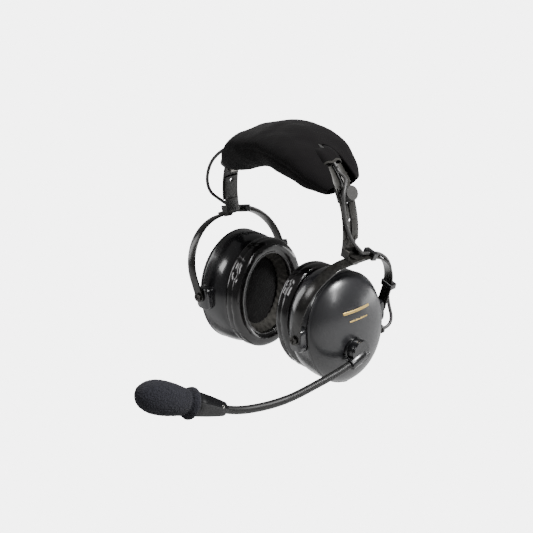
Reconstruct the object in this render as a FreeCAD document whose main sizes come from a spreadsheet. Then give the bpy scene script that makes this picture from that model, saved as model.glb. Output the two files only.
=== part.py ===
import FreeCAD, Part
import math
import os

# Aviation headset.  +X is the wearer's left, -Y is the way the wearer faces, +Z is up.
# The origin is the middle of the pad's underside, where the headset rests on the head.
# Lengths are in millimetres and angles in degrees.

os.makedirs("parts", exist_ok=True)
doc = FreeCAD.newDocument("Headset")
sheet = doc.addObject("Spreadsheet::Sheet", "Dims")

DIMENSIONS = [
    # headband and slider arms: all bent round one axis, the arc centre
    ("ArcDrop", 42.6, "arc centre below the origin"),
    ("SliderRadius", 77.33, "middle of the slider strip"),
    ("StripThick", 1.2, "spring strip thickness"),
    ("StripGap", 0.1, "air between headband strip and slider strip"),
    ("StripWidth", 17.0, "width of headband and slider strips"),
    ("KnobAngle", 21.1, "clamp knob above the horizontal"),
    ("BandEndAngle", 17.4, "end of the headband strip above the horizontal"),
    ("ShoulderAngle", 42.0, "where the side arc meets the shoulder arc"),
    ("ShoulderRadius", 32.0, "headband shoulder arc"),
    ("ShoulderTurn", 66.0, "normal angle where the shoulder meets the top arc"),
    ("SlotWidth", 4.2, "adjusting slot"),
    ("SlitWidth", 2.0, "lightening slit below the detent hole"),
    ("NeckWidth", 1.4, "slit between the detent hole and the slot"),
    ("DetentHole", 3.6, "diameter of the hole in the slit"),
    # stirrup
    ("PivotHeight", 65.06, "stirrup crown above the cup pivots"),
    ("CrownOffset", 7.23, "stirrup crown outboard of the slider arc"),
    ("StirrupThick", 1.6, "stirrup strip thickness"),
    ("StirrupWidth", 10.0, "stirrup strip width"),
    ("StirrupArc", 44.0, "stirrup corner radius on its centre line"),
    ("CrownFlat", 8.5, "half length of the straight crown"),
    ("LegLean", 5.3, "inward lean of the stirrup legs"),
    # ear cup, measured from the pivot line; N is outward
    ("CupRoll", 11.3, "oval of the cup turned from the stirrup"),
    ("CupDrop", 2.3, "middle of the oval below the pivots"),
    ("CupHalfWidth", 43.0, "half width of the oval"),
    ("CupHalfHeight", 51.5, "half height of the oval"),
    ("DomeBase", 3.0, "plane where the dome is widest"),
    ("DomeDepth", 22.5, "dome height over that plane"),
    ("PartingPlane", 6.0, "joint line between dome and base"),
    ("BaseDepth", 22.8, "inner face of the cup base, inboard of the pivots"),
    ("CupWall", 2.5, "wall of dome and base"),
    ("SealHalfWidth", 39.8, "ear seal half width"),
    ("SealHalfHeight", 49.6, "ear seal half height"),
    ("SealFace", 39.5, "ear seal face, inboard of the pivots"),
    ("OpeningHalfWidth", 26.5, "ear opening half width"),
    ("OpeningHalfHeight", 38.5, "ear opening half height"),
    ("PivotScrew", 4.0, "pivot screw shank diameter"),
    ("SpeakerRadius", 20.0, "earphone capsule"),
    ("SealRise", 5.5, "round edge of the ear seal"),
    # boom microphone
    ("BoomPivotDrop", 14.0, "boom pivot below the cup pivots"),
    ("BoomPivotFore", 6.5, "boom pivot forward of the cup pivots"),
    ("BoomDiameter", 6.6, "gooseneck"),
    ("WindscreenRadius", 13.6, "windscreen"),
    ("WindscreenLength", 45.0, "windscreen"),
    # cords
    ("CordDiameter", 3.0, "crossover cord"),
    ("GlandBore", 6.2, "bore of the main cord inlet"),
    ("GlandLength", 9.0, "main cord inlet outside the cup"),
]
for row, (alias, value, meaning) in enumerate(DIMENSIONS, start=1):
    sheet.set("A%d" % row, alias)
    sheet.set("B%d" % row, str(value))
    sheet.set("C%d" % row, meaning)
    sheet.setAlias("B%d" % row, alias)
doc.recompute()
DIM = {alias: value for alias, value, meaning in DIMENSIONS}

# How far each arm is drawn out, as the angle of its stirrup crown below the horizontal.
# The wearer's left arm is 5.4 degrees (7.3 mm) longer than the right one.
CROWN_ANGLE = {"left": 18.61, "right": 13.22}
# Tilt of each ear cup on its pivots: dome turned down.
CUP_TILT = {"left": 1.9, "right": 1.0}
HOLE_ABOVE_CROWN = 23.9
SLIDER_TOP_ABOVE_CROWN = 59.5
SLIDER_END_ABOVE_CROWN = 10.5
# Each slot ends where its arm is pushed fully in.
SLOT_ABOVE_CROWN = {"left": (36.4, 57.8), "right": (33.4, 57.8)}

X_AXIS = FreeCAD.Vector(1, 0, 0)
Y_AXIS = FreeCAD.Vector(0, 1, 0)
Z_AXIS = FreeCAD.Vector(0, 0, 1)
nodes = []


def vec(x, y, z):
    return FreeCAD.Vector(x, y, z)


def place(x=0, y=0, z=0, axis=Z_AXIS, angle=0):
    return FreeCAD.Placement(vec(x, y, z), FreeCAD.Rotation(axis, angle))


def node(obj, label, placement=None):
    """Make obj a sub-part: its label is its file name."""
    obj.Label = label
    if placement is not None:
        obj.Placement = placement.multiply(obj.Placement)
    nodes.append(obj)
    return obj


def add(kind, placement=None, **sizes):
    """A Part primitive whose sizes are numbers or expressions on the sheet's cells."""
    obj = doc.addObject("Part::" + kind, kind)
    for prop, size in sizes.items():
        if isinstance(size, str):
            obj.setExpression(prop, size)
        else:
            setattr(obj, prop, size)
    if placement is not None:
        obj.Placement = placement
    return obj


def cut(base, tool):
    obj = doc.addObject("Part::Cut", "Cut")
    obj.Base = base
    obj.Tool = tool
    return obj


def common(base, tool):
    obj = doc.addObject("Part::Common", "Common")
    obj.Base = base
    obj.Tool = tool
    return obj


def fuse(*shapes):
    if len(shapes) == 1:
        return shapes[0]
    obj = doc.addObject("Part::MultiFuse", "Fuse")
    obj.Shapes = list(shapes)
    obj.Refine = True
    return obj


def group(*shapes):
    """Separate solids that share one node."""
    obj = doc.addObject("Part::Compound", "Group")
    obj.Links = list(shapes)
    return obj


def sector(inner, outer, width, start, end):
    """Strip bent round the Y axis between two polar angles, its middle at y = 0."""
    big = add("Cylinder", Radius=outer, Height=width, Angle=end - start)
    small = add("Cylinder", Radius=inner, Height=width, Angle=360)
    for drum in (big, small):
        drum.setExpression("Placement.Base.z", "-(%s) / 2" % width)
    obj = cut(big, small)
    turn = FreeCAD.Rotation(X_AXIS, 90).multiply(FreeCAD.Rotation(Z_AXIS, start))
    obj.Placement = FreeCAD.Placement(vec(0, 0, 0), turn)
    return obj


def radial(radius, angle, start, end, y=0):
    """Cylinder along a radius of the arc, between two distances from the arc centre."""
    obj = add("Cylinder", Radius=radius, Height=end - start)
    at = polar(start, angle, y)
    obj.Placement = FreeCAD.Placement(at, FreeCAD.Rotation(Y_AXIS, 90 - angle))
    return obj


def polar(radius, angle, y=0):
    """Point round the arc centre."""
    turn = math.radians(angle)
    return vec(radius * math.cos(turn), y, radius * math.sin(turn))


def rod(radius, start, end, direction="z", x=0, y=0, z=0):
    """Cylinder along one axis, between two coordinates on that axis."""
    turns = {"z": (Z_AXIS, 0), "x": (Y_AXIS, 90), "y": (X_AXIS, -90)}
    offsets = {"z": vec(x, y, start), "x": vec(start, y, z), "y": vec(x, start, z)}
    obj = add("Cylinder", Radius=radius, Height=end - start)
    axis, angle = turns[direction]
    obj.Placement = FreeCAD.Placement(offsets[direction], FreeCAD.Rotation(axis, angle))
    return obj


def block(x, y, z, placement=None):
    """Box from three (low, high) pairs."""
    obj = add("Box", Length=x[1] - x[0], Width=y[1] - y[0], Height=z[1] - z[0])
    corner = place(x[0], y[0], z[0])
    obj.Placement = corner if placement is None else placement.multiply(corner)
    return obj


def oval(half_width, half_height, low, high, placement=None):
    """Straight oval block between two heights along Z."""
    ring = add("Ellipse", MajorRadius=half_height, MinorRadius=half_width)
    ring.Placement = place(angle=90)
    ring.setExpression("Placement.Base.z", low)
    obj = doc.addObject("Part::Extrusion", "Oval")
    obj.Base = ring
    obj.DirMode = "Custom"
    obj.Dir = Z_AXIS
    obj.Solid = True
    obj.setExpression("LengthFwd", "(%s) - (%s)" % (high, low))
    if placement is not None:
        obj.Placement = placement
    return obj


def ellipsoid(half_width, half_height, depth, placement):
    obj = add("Ellipsoid", Radius1=depth, Radius2=half_width, Radius3=half_height)
    obj.Angle1 = -90
    obj.Placement = placement
    return obj


def tube(label, points, diameter, placement=None):
    """Round tube along straight runs joined by tangent arcs as large as the runs allow."""
    pts = [vec(*p) for p in points]
    edges = []
    start = pts[0]
    radii = []
    for before, corner, after in zip(pts, pts[1:], pts[2:]):
        to_before = (before - corner).normalize()
        to_after = (after - corner).normalize()
        turn = math.pi - to_before.getAngle(to_after)
        setback = 0.45 * min((before - corner).Length, (after - corner).Length)
        radius = setback / math.tan(turn / 2)
        arc_start = corner + to_before * setback
        arc_end = corner + to_after * setback
        middle = (to_before + to_after).normalize()
        reach = math.hypot(setback, radius) - radius
        edges.append(Part.LineSegment(start, arc_start).toShape())
        edges.append(Part.Arc(arc_start, corner + middle * reach, arc_end).toShape())
        radii.append(radius)
        start = arc_end
    edges.append(Part.LineSegment(start, pts[-1]).toShape())
    return sweep(label, Part.Wire(edges), diameter, radii, placement)


def sweep(label, path, diameter, radii, placement=None):
    start = path.Edges[0].valueAt(path.Edges[0].FirstParameter)
    along = path.Edges[0].tangentAt(path.Edges[0].FirstParameter)
    ring = Part.Wire([Part.Circle(start, along, diameter / 2).toShape()])
    shape = path.makePipeShell([ring], True, False)
    full = math.pi * diameter ** 2 / 4 * path.Length
    text = ", ".join("%.0f" % radius for radius in radii)
    print("%s: length %.1f, volume ratio %.4f, radii %s" % (label, path.Length, shape.Volume / full, text))
    obj = doc.addObject("Part::Feature", label)
    obj.Shape = shape
    return node(obj, label, placement)


ARC = place(z=-DIM["ArcDrop"])
SIDE_TURN = {"left": place(), "right": place(angle=180)}
SLIDER_OUT = "Dims.SliderRadius + Dims.StripThick / 2"
SLIDER_IN = "Dims.SliderRadius - Dims.StripThick / 2"
slider_out = DIM["SliderRadius"] + DIM["StripThick"] / 2
slider_in = slider_out - DIM["StripThick"]
band_mid = slider_in - DIM["StripGap"] - DIM["StripThick"] / 2
knob_angle = DIM["KnobAngle"]
shoulder_angle = DIM["ShoulderAngle"]
shoulder_turn = DIM["ShoulderTurn"]

# The headband's side arcs run round the arc centre.  Tighter shoulders and a flatter top arc
# follow, and each pair of arcs shares a normal, which fixes their centres.
shoulder_centre = polar(band_mid - DIM["ShoulderRadius"], shoulder_angle)
top_reach = shoulder_centre.x / math.cos(math.radians(shoulder_turn))
top_radius = DIM["ShoulderRadius"] + top_reach
top_centre = vec(0, 0, shoulder_centre.z - top_reach * math.sin(math.radians(shoulder_turn)))


def band(inner, outer, width, end_angle):
    """The five arcs of the headband; inner and outer are offsets from its middle line."""
    arcs = []
    for turn in SIDE_TURN.values():
        side = sector(band_mid + inner, band_mid + outer, width, end_angle, shoulder_angle)
        shoulder = sector(DIM["ShoulderRadius"] + inner, DIM["ShoulderRadius"] + outer, width,
                          shoulder_angle, shoulder_turn)
        shoulder.Placement = FreeCAD.Placement(shoulder_centre, shoulder.Placement.Rotation)
        for piece in (side, shoulder):
            piece.Placement = turn.multiply(piece.Placement)
            arcs.append(piece)
    top = sector(top_radius + inner, top_radius + outer, width, shoulder_turn, 180 - shoulder_turn)
    top.Placement = FreeCAD.Placement(top_centre, top.Placement.Rotation)
    arcs.append(top)
    return fuse(*arcs)


# ---------------------------------------------------------------- headband and pad
half_thick = DIM["StripThick"] / 2
strip = band(-half_thick, half_thick, "Dims.StripWidth", DIM["BandEndAngle"])
screw_hole_radius = 2.0
for turn in SIDE_TURN.values():
    hole = radial(screw_hole_radius, knob_angle, band_mid - 5, band_mid + 5)
    hole.Placement = turn.multiply(hole.Placement)
    strip = cut(strip, hole)
node(strip, "headband_strip", ARC)

# The pad: ovals square to a flattened arch, wide in the middle and narrow at its ends.
PAD_END = 27.0
PAD_FLATTEN = 15.8
PAD_REAR_SHIFT = 2.5
PAD_MIDDLE = {"half_width": 32.5, "above": 12.3, "below": 19.0}
PAD_TIP = {"half_width": 16.5, "above": 4.6, "below": 7.0}
PAD_SECTIONS = 13


def pad_line(angle):
    """Arch that the pad's ovals are centred on, as a point round the arc centre."""
    rise = math.sin(math.radians(angle))
    low = math.sin(math.radians(20))
    share = max(0, (rise - low) / (1 - low))
    return polar(DIM["SliderRadius"] - PAD_FLATTEN * share ** 0.7, angle)


rings = []
for number in range(PAD_SECTIONS):
    angle = PAD_END + (180 - 2 * PAD_END) * number / (PAD_SECTIONS - 1)
    from_middle = abs(angle - 90) / (90 - PAD_END)
    fullness = 1 - from_middle ** 4
    size = {key: PAD_TIP[key] + (PAD_MIDDLE[key] - PAD_TIP[key]) * fullness for key in PAD_TIP}
    along = (pad_line(angle + 0.5) - pad_line(angle - 0.5)).normalize()
    outward = vec(along.z, 0, -along.x)
    centre = pad_line(angle) + outward * ((size["above"] - size["below"]) / 2)
    half_depth = (size["above"] + size["below"]) / 2
    ring = add("Ellipse", MajorRadius=size["half_width"], MinorRadius=half_depth)
    ring.Placement = FreeCAD.Placement(
        centre + vec(0, PAD_REAR_SHIFT, 0), FreeCAD.Rotation(Y_AXIS, outward, along, "XZY"))
    rings.append(ring)
cushion = doc.addObject("Part::Loft", "Cushion")
cushion.Sections = rings
cushion.Solid = True
cushion.Ruled = False
# Room for the strip, for the slider arms over their whole travel, and for the cord.
pocket_low = -half_thick - 0.4
pocket_high = half_thick + DIM["StripGap"] + DIM["StripThick"] + 0.6
cord_offset = pocket_high + DIM["CordDiameter"] / 2 + 0.2
pocket = band(pocket_low, pocket_high, DIM["StripWidth"] + 1.2, 10)
cord_way = band(pocket_high - 0.1, cord_offset + DIM["CordDiameter"] / 2 + 0.4,
                DIM["CordDiameter"] + 0.8, 10)
cushion = cut(cushion, fuse(pocket, cord_way))
# Each end is open on the outside, between a front and a rear flap.
for turn in SIDE_TURN.values():
    mouth = sector(band_mid, band_mid + 30, DIM["StripWidth"] + 1.2, 15, 47)
    mouth.Placement = turn.multiply(mouth.Placement)
    cushion = cut(cushion, mouth)
node(cushion, "head_pad", ARC)

# ---------------------------------------------------------------- clamp knobs
WASHER_THICK = 1.0
KNOB_RADIUS = 6.2
KNOB_HEIGHT = 7.5
NUT_THICK = 2.6
KNOB_GRIPS = 18
screw_radius = screw_hole_radius - 0.1
for side, turn in SIDE_TURN.items():
    at = turn.multiply(ARC)
    washer_base = slider_out + 0.12
    knob_base = washer_base + WASHER_THICK + 0.05
    screw_tip = band_mid - half_thick - NUT_THICK - 1.4
    frame = FreeCAD.Placement(polar(washer_base, knob_angle), FreeCAD.Rotation(Y_AXIS, 90 - knob_angle))
    washer = cut(block((-6.6, 6.6), (-7.4, 7.4), (0, WASHER_THICK), frame),
                 radial(screw_hole_radius, knob_angle, washer_base - 1, washer_base + 3))
    node(washer, side + "_clamp_washer", at)
    nut_top = band_mid - half_thick - 0.2
    frame = FreeCAD.Placement(polar(nut_top - NUT_THICK, knob_angle),
                              FreeCAD.Rotation(Y_AXIS, 90 - knob_angle))
    nut = cut(block((-4, 4), (-4, 4), (0, NUT_THICK), frame),
              radial(screw_radius + 0.05, knob_angle, nut_top - 5, nut_top + 3))
    node(nut, side + "_clamp_nut", at)
    knob = fuse(radial(KNOB_RADIUS, knob_angle, knob_base, knob_base + KNOB_HEIGHT),
                radial(screw_radius, knob_angle, screw_tip, knob_base + 1))
    frame = FreeCAD.Placement(polar(knob_base, knob_angle), FreeCAD.Rotation(Y_AXIS, 90 - knob_angle))
    grooves = []
    for number in range(KNOB_GRIPS):
        spin = math.radians(360 / KNOB_GRIPS * number)
        reach = KNOB_RADIUS + 0.35
        groove = rod(0.6, 1.2, KNOB_HEIGHT + 1, x=reach * math.cos(spin), y=reach * math.sin(spin))
        groove.Placement = frame.multiply(groove.Placement)
        grooves.append(groove)
    node(cut(knob, group(*grooves)), side + "_clamp_knob", at)

# ---------------------------------------------------------------- slider arms
FOOT_LENGTH = 26.6
FOOT_PLATE = 1.5
crown_top = DIM["PivotHeight"] + DIM["StirrupThick"] / 2
slider_to_crown = DIM["SliderRadius"] + DIM["CrownOffset"]
stirrup_frames = {}
cup_frames = {}
for side, turn in SIDE_TURN.items():
    crown_angle = -CROWN_ANGLE[side]
    at = turn.multiply(ARC)
    arm = sector(SLIDER_IN, SLIDER_OUT, "Dims.StripWidth",
                 crown_angle + SLIDER_END_ABOVE_CROWN, crown_angle + SLIDER_TOP_ABOVE_CROWN)
    slot_low, slot_high = [crown_angle + end for end in SLOT_ABOVE_CROWN[side]]
    slot = sector(DIM["SliderRadius"] - 5, DIM["SliderRadius"] + 5, "Dims.SlotWidth", slot_low, slot_high)
    openings = [slot]
    for angle in (slot_low, slot_high):
        openings.append(radial("Dims.SlotWidth / 2", angle, slider_in - 4, slider_out + 4))
    hole_angle = crown_angle + HOLE_ABOVE_CROWN
    openings.append(radial("Dims.DetentHole / 2", hole_angle, slider_in - 4, slider_out + 4))
    slit_low = crown_angle + SLIDER_END_ABOVE_CROWN + 2.5
    openings.append(sector(DIM["SliderRadius"] - 5, DIM["SliderRadius"] + 5, "Dims.SlitWidth",
                           slit_low, hole_angle))
    openings.append(sector(DIM["SliderRadius"] - 5, DIM["SliderRadius"] + 5, "Dims.NeckWidth",
                           hole_angle, slot_low))
    foot_low = crown_angle + 1.0
    rivet_angles = [crown_angle + SLIDER_END_ABOVE_CROWN + 1.2]
    rivet_spots = [(rivet_angles[0], -5.5), (rivet_angles[0], 5.5)]
    for angle, y in rivet_spots:
        openings.append(radial(1.3, angle, slider_in - 4, slider_out + 4, y))
    node(cut(arm, fuse(*openings)), side + "_slider_arm", at)

    # Foot: a plate under the strip that ends in a flat base on the stirrup's crown.
    foot_out = slider_in - 0.02
    foot_in = foot_out - FOOT_PLATE
    plate = sector(foot_in, foot_out, DIM["StripWidth"] - 2.6, foot_low, crown_angle + FOOT_LENGTH)
    tilt = math.radians(CROWN_ANGLE[side])
    up = vec(math.sin(tilt), 0, math.cos(tilt))
    outward = vec(math.cos(tilt), 0, -math.sin(tilt))
    crown = polar(slider_to_crown, crown_angle)
    pivots = crown - up * DIM["PivotHeight"]
    square = FreeCAD.Rotation(Y_AXIS, up, outward, "ZYX")
    stirrup_at = FreeCAD.Placement(pivots, square)
    inner = foot_in - slider_to_crown
    base_low = crown_top + 0.1
    base_high = base_low + FOOT_PLATE
    base = block((-7.2, 7.2), (base_low, base_high), (inner, 5.5), stirrup_at)
    ribs = []
    for x in (-7.2, 5.6):
        ribs.append(block((x, x + 1.6), (base_high - 0.5, base_high + 6), (inner + 0.5, -1.5), stirrup_at))
    foot_holes = [rod(2.5, base_low - 1, base_high + 1, "y")]
    foot_holes[0].Placement = stirrup_at.multiply(foot_holes[0].Placement)
    for angle, y in rivet_spots:
        foot_holes.append(radial(1.3, angle, foot_in - 2, foot_out + 2, y))
    foot_holes.append(radial("Dims.DetentHole / 2", hole_angle, foot_in - 2, foot_out + 2))
    node(cut(fuse(plate, base, *ribs), fuse(*foot_holes)), side + "_arm_foot", at)

    rivets = []
    for angle, y in rivet_spots:
        rivets.append(fuse(radial(1.25, angle, foot_in + 0.1, slider_out + 0.4, y),
                           radial(1.9, angle, slider_out + 0.05, slider_out + 0.6, y)))
    swivel = fuse(rod(2.45, crown_top - DIM["StirrupThick"] - 0.7, base_high + 0.5, "y"),
                  rod(4.0, base_high + 0.02, base_high + 1.6, "y"),
                  rod(4.0, crown_top - DIM["StirrupThick"] - 1.5, crown_top - DIM["StirrupThick"] - 0.1, "y"))
    swivel.Placement = stirrup_at
    node(group(swivel, *rivets), side + "_arm_rivets", at)
    stirrup_frames[side] = at.multiply(stirrup_at)
    tilt = math.radians(CUP_TILT[side])
    up = vec(math.sin(tilt), 0, math.cos(tilt))
    outward = vec(math.cos(tilt), 0, -math.sin(tilt))
    cup_frames[side] = at.multiply(FreeCAD.Placement(pivots, FreeCAD.Rotation(Y_AXIS, up, outward, "ZYX")))

# ---------------------------------------------------------------- stirrups
# In the stirrup's own frame the pivots lie on X, Y runs up to the crown and Z points outward.
half_width = DIM["StirrupWidth"] / 2
half_plate = DIM["StirrupThick"] / 2
arc_height = DIM["PivotHeight"] - DIM["StirrupArc"]
lean = math.radians(DIM["LegLean"])
leg_top = vec(DIM["CrownFlat"] + DIM["StirrupArc"] * math.cos(lean),
              arc_height - DIM["StirrupArc"] * math.sin(lean), 0)
leg_length = leg_top.y / math.cos(lean)
pivot_x = leg_top.x - leg_length * math.sin(lean)
CLIP_ANGLES = {"crown": 76.5, "leg": 3.0}
CLIP_LENGTH = 5.5
clip_high = half_plate + DIM["CordDiameter"] + 1.0
print("stirrup centre line at the pivots %.2f" % pivot_x)


def flat_arc(inner, outer, width, start, end, centre_x):
    """Strip bent round Z, for the stirrup's corners."""
    big = add("Cylinder", Radius=outer, Height=width, Angle=end - start)
    small = add("Cylinder", Radius=inner, Height=width, Angle=360)
    for drum in (big, small):
        drum.setExpression("Placement.Base.z", "-(%s) / 2" % width)
    obj = cut(big, small)
    obj.Placement = place(centre_x, arc_height, 0, Z_AXIS, start)
    return obj


for side, at in stirrup_frames.items():
    rear = 1 if side == "left" else -1
    crown_plate = block((-DIM["CrownFlat"], DIM["CrownFlat"]),
                        (crown_top - DIM["StirrupThick"], crown_top), (-half_width, half_width))
    pieces = [crown_plate]
    pivot_holes = [rod(2.5, crown_top - 5, crown_top + 5, "y")]
    for flip in (place(), place(axis=Y_AXIS, angle=180)):
        corner = flat_arc("Dims.StirrupArc - Dims.StirrupThick / 2", "Dims.StirrupArc + Dims.StirrupThick / 2",
                          "Dims.StirrupWidth", -DIM["LegLean"], 90, DIM["CrownFlat"])
        leg_frame = FreeCAD.Placement(leg_top, FreeCAD.Rotation(Z_AXIS, -DIM["LegLean"]))
        leg = block((-half_plate, half_plate), (-leg_length, 0), (-half_width, half_width), leg_frame)
        end = rod("Dims.StirrupWidth / 2", -half_plate, half_plate, "x")
        end.Placement = leg_frame.multiply(place(y=-leg_length)).multiply(end.Placement)
        hole = rod("Dims.PivotScrew / 2 + 0.05", pivot_x - 5, pivot_x + 5, "x")
        for piece in (corner, leg, end, hole):
            piece.Placement = flip.multiply(piece.Placement)
        pieces += [corner, leg, end]
        pivot_holes.append(hole)
    node(cut(fuse(*pieces), fuse(*pivot_holes)), side + "_stirrup", at)

    clips = []
    for angle in CLIP_ANGLES.values():
        frame = place(DIM["CrownFlat"], arc_height, 0, Z_AXIS, angle).multiply(place(DIM["StirrupArc"]))
        clip = block((-half_plate - 1.2, clip_high), (-CLIP_LENGTH / 2, CLIP_LENGTH / 2), (-6.2, 6.2), frame)
        slot = flat_arc(DIM["StirrupArc"] - half_plate - 0.03, DIM["StirrupArc"] + half_plate + 0.03,
                        DIM["StirrupWidth"] + 0.1, angle - 8, angle + 8, DIM["CrownFlat"])
        bore = rod(DIM["CordDiameter"] / 2 + 0.12, -6, 6, "y", x=half_plate + DIM["CordDiameter"] / 2 + 0.15)
        bore.Placement = frame.multiply(bore.Placement)
        way_in = block((0, half_plate + DIM["CordDiameter"] / 2 + 0.15), (-6, 6),
                       (-DIM["CordDiameter"] / 2 - 0.12, DIM["CordDiameter"] / 2 + 0.12), frame)
        clip = cut(clip, fuse(slot, bore, way_in))
        if rear < 0:
            clip.Placement = place(axis=Y_AXIS, angle=180)
        clips.append(clip)
    node(group(*clips), side + "_cable_clips", at)

# ---------------------------------------------------------------- ear cups
# In a cup's own frame X runs through the pivots, Y is up and Z is outward, away from the head.
# Both cups are the same mouldings, turned half a turn, so their ovals lean opposite ways.
SHELL = place(angle=DIM["CupRoll"]).multiply(place(y=-DIM["CupDrop"]))
POST_SPOTS = [(x, y) for x in (-21, 21) for y in (-28, 28)]
PLATE_INNER = -15.4
PLATE_OUTER = -13.4
FOAM_CLEAR = 0.3
BOSS_FACE = pivot_x - half_plate - 0.6
GROMMET_Y = -15.5
GROMMET_Z = 10.0


def dome_edge(y, z, direction):
    """x of the dome's outer surface at a height and a depth, on one side of the cup."""
    roll = math.radians(DIM["CupRoll"])
    level = 1 - ((z - DIM["DomeBase"]) / DIM["DomeDepth"]) ** 2
    low, high = 0.0, 60.0
    while high - low > 0.001:
        x = (low + high) / 2 * direction
        along = x * math.cos(roll) + y * math.sin(roll)
        across = -x * math.sin(roll) + y * math.cos(roll) + DIM["CupDrop"]
        inside = (along / DIM["CupHalfWidth"]) ** 2 + (across / DIM["CupHalfHeight"]) ** 2 < level
        if inside:
            low = (low + high) / 2
        else:
            high = (low + high) / 2
    return low * direction


def shell_rod(radius, start, end, spot):
    obj = rod(radius, start, end, x=spot[0], y=spot[1])
    obj.Placement = SHELL.multiply(obj.Placement)
    return obj


def shell_oval(half_width, half_height, low, high):
    return oval(half_width, half_height, low, high, SHELL)


GLAND_X = 12.0
GLAND_Z = -8.0
gland_y = -DIM["CupHalfHeight"] - DIM["CupDrop"] + 1.6
for side, at in cup_frames.items():
    rear = 1 if side == "left" else -1
    dome_frame = SHELL.multiply(place(z=DIM["DomeBase"]))
    outer = ellipsoid("Dims.CupHalfWidth", "Dims.CupHalfHeight", "Dims.DomeDepth", dome_frame)
    inner = ellipsoid("Dims.CupHalfWidth - Dims.CupWall", "Dims.CupHalfHeight - Dims.CupWall",
                      "Dims.DomeDepth - Dims.CupWall", dome_frame)
    below = shell_oval("60", "70", "-40", "Dims.PartingPlane")
    dome = cut(cut(outer, inner), below)
    post_block = ellipsoid("Dims.CupHalfWidth - 0.5", "Dims.CupHalfHeight - 0.5", "Dims.DomeDepth - 0.5",
                           dome_frame)
    posts = []
    post_holes = []
    for spot in POST_SPOTS:
        upper = common(shell_rod(3.4, 4, 24, spot), post_block)
        posts += [upper, shell_rod(3.4, PLATE_OUTER, 5, spot)]
        post_holes.append(shell_rod(1.25, PLATE_OUTER - 1, -2, spot))
    edge = dome_edge(GROMMET_Y, GROMMET_Z, rear)
    ends = sorted((edge - 5 * rear, edge + 5 * rear))
    grommet_hole = rod(2.7, ends[0], ends[1], "x", y=GROMMET_Y, z=GROMMET_Z)
    ends = sorted((edge - 0.8 * rear, edge + 6 * rear))
    flange_seat = rod(4.1, ends[0], ends[1], "x", y=GROMMET_Y, z=GROMMET_Z)
    removed = post_holes + [grommet_hole, flange_seat]
    if side == "left":
        boom_seat = rod(2.2, 10, 40, x=-DIM["BoomPivotFore"], y=-DIM["BoomPivotDrop"])
        removed.append(boom_seat)
    node(cut(fuse(dome, *posts), fuse(*removed)), side + "_dome", at)

    ends = sorted((edge - 0.75 * rear, edge + 1.5 * rear))
    flange = rod(3.9, ends[0], ends[1], "x", y=GROMMET_Y, z=GROMMET_Z)
    ends = sorted((edge - 4.5 * rear, edge - 0.5 * rear))
    stem = rod(2.6, ends[0], ends[1], "x", y=GROMMET_Y, z=GROMMET_Z)
    bore = rod(DIM["CordDiameter"] / 2 + 0.02, -60, 60, "x", y=GROMMET_Y, z=GROMMET_Z)
    node(cut(fuse(flange, stem), bore), side + "_cord_grommet", at)

    base = shell_oval("Dims.CupHalfWidth - 0.3", "Dims.CupHalfHeight - 0.4", "-Dims.BaseDepth",
                      "Dims.PartingPlane - 0.02")
    hollow = shell_oval("Dims.CupHalfWidth - 0.4 - Dims.CupWall", "Dims.CupHalfHeight - 0.5 - Dims.CupWall",
                        "-Dims.BaseDepth + Dims.CupWall", "Dims.PartingPlane + 1")
    opening = shell_oval("Dims.OpeningHalfWidth + 1", "Dims.OpeningHalfHeight + 1", "-Dims.BaseDepth - 1",
                         "-Dims.BaseDepth + Dims.CupWall + 1")
    ledge_ring = cut(shell_oval("Dims.CupHalfWidth - 2", "Dims.CupHalfHeight - 2", str(PLATE_OUTER + 0.02), "-11.4"),
                     shell_oval("Dims.CupHalfWidth - 6.5", "Dims.CupHalfHeight - 6.5", "-14", "-11"))
    bosses = cut(block((-BOSS_FACE, BOSS_FACE), (-11, 8), (-8, 5.9)),
                 shell_oval("Dims.CupHalfWidth - 1", "Dims.CupHalfHeight - 1", "-30", "30"))
    screw_way = rod("Dims.PivotScrew / 2 + 0.04", -60, 60, "x")
    removed = [screw_way]
    if side == "left":
        removed.append(rod(4.6, gland_y - 5, gland_y + 8, "y", x=GLAND_X, z=GLAND_Z))
    shell = fuse(cut(cut(base, hollow), opening), ledge_ring, bosses)
    node(cut(shell, fuse(*removed)), side + "_cup_base", at)

    screws = []
    nuts = []
    for direction in (-1, 1):
        ends = sorted((36.0 * direction, (pivot_x + half_plate + 0.6) * direction))
        shank = rod("Dims.PivotScrew / 2", ends[0], ends[1], "x")
        ends = sorted(((pivot_x + half_plate + 0.45) * direction, (pivot_x + half_plate + 2.2) * direction))
        head = rod(3.6, ends[0], ends[1], "x")
        drive = block((ends[1] - 0.8, ends[1] + 1) if direction > 0 else (ends[0] - 1, ends[0] + 0.8),
                      (-2.6, 2.6), (-0.5, 0.5))
        cross = block((ends[1] - 0.8, ends[1] + 1) if direction > 0 else (ends[0] - 1, ends[0] + 0.8),
                      (-0.5, 0.5), (-2.6, 2.6))
        screws.append(cut(fuse(shank, head), fuse(drive, cross)))
        ends = sorted((35.8 * direction, 39.0 * direction))
        nut = cut(rod(3.6, ends[0], ends[1], "x"), rod("Dims.PivotScrew / 2 + 0.04", -60, 60, "x"))
        nuts.append(nut)
    node(group(*screws), side + "_pivot_screws", at)
    node(group(*nuts), side + "_pivot_nuts", at)

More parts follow.
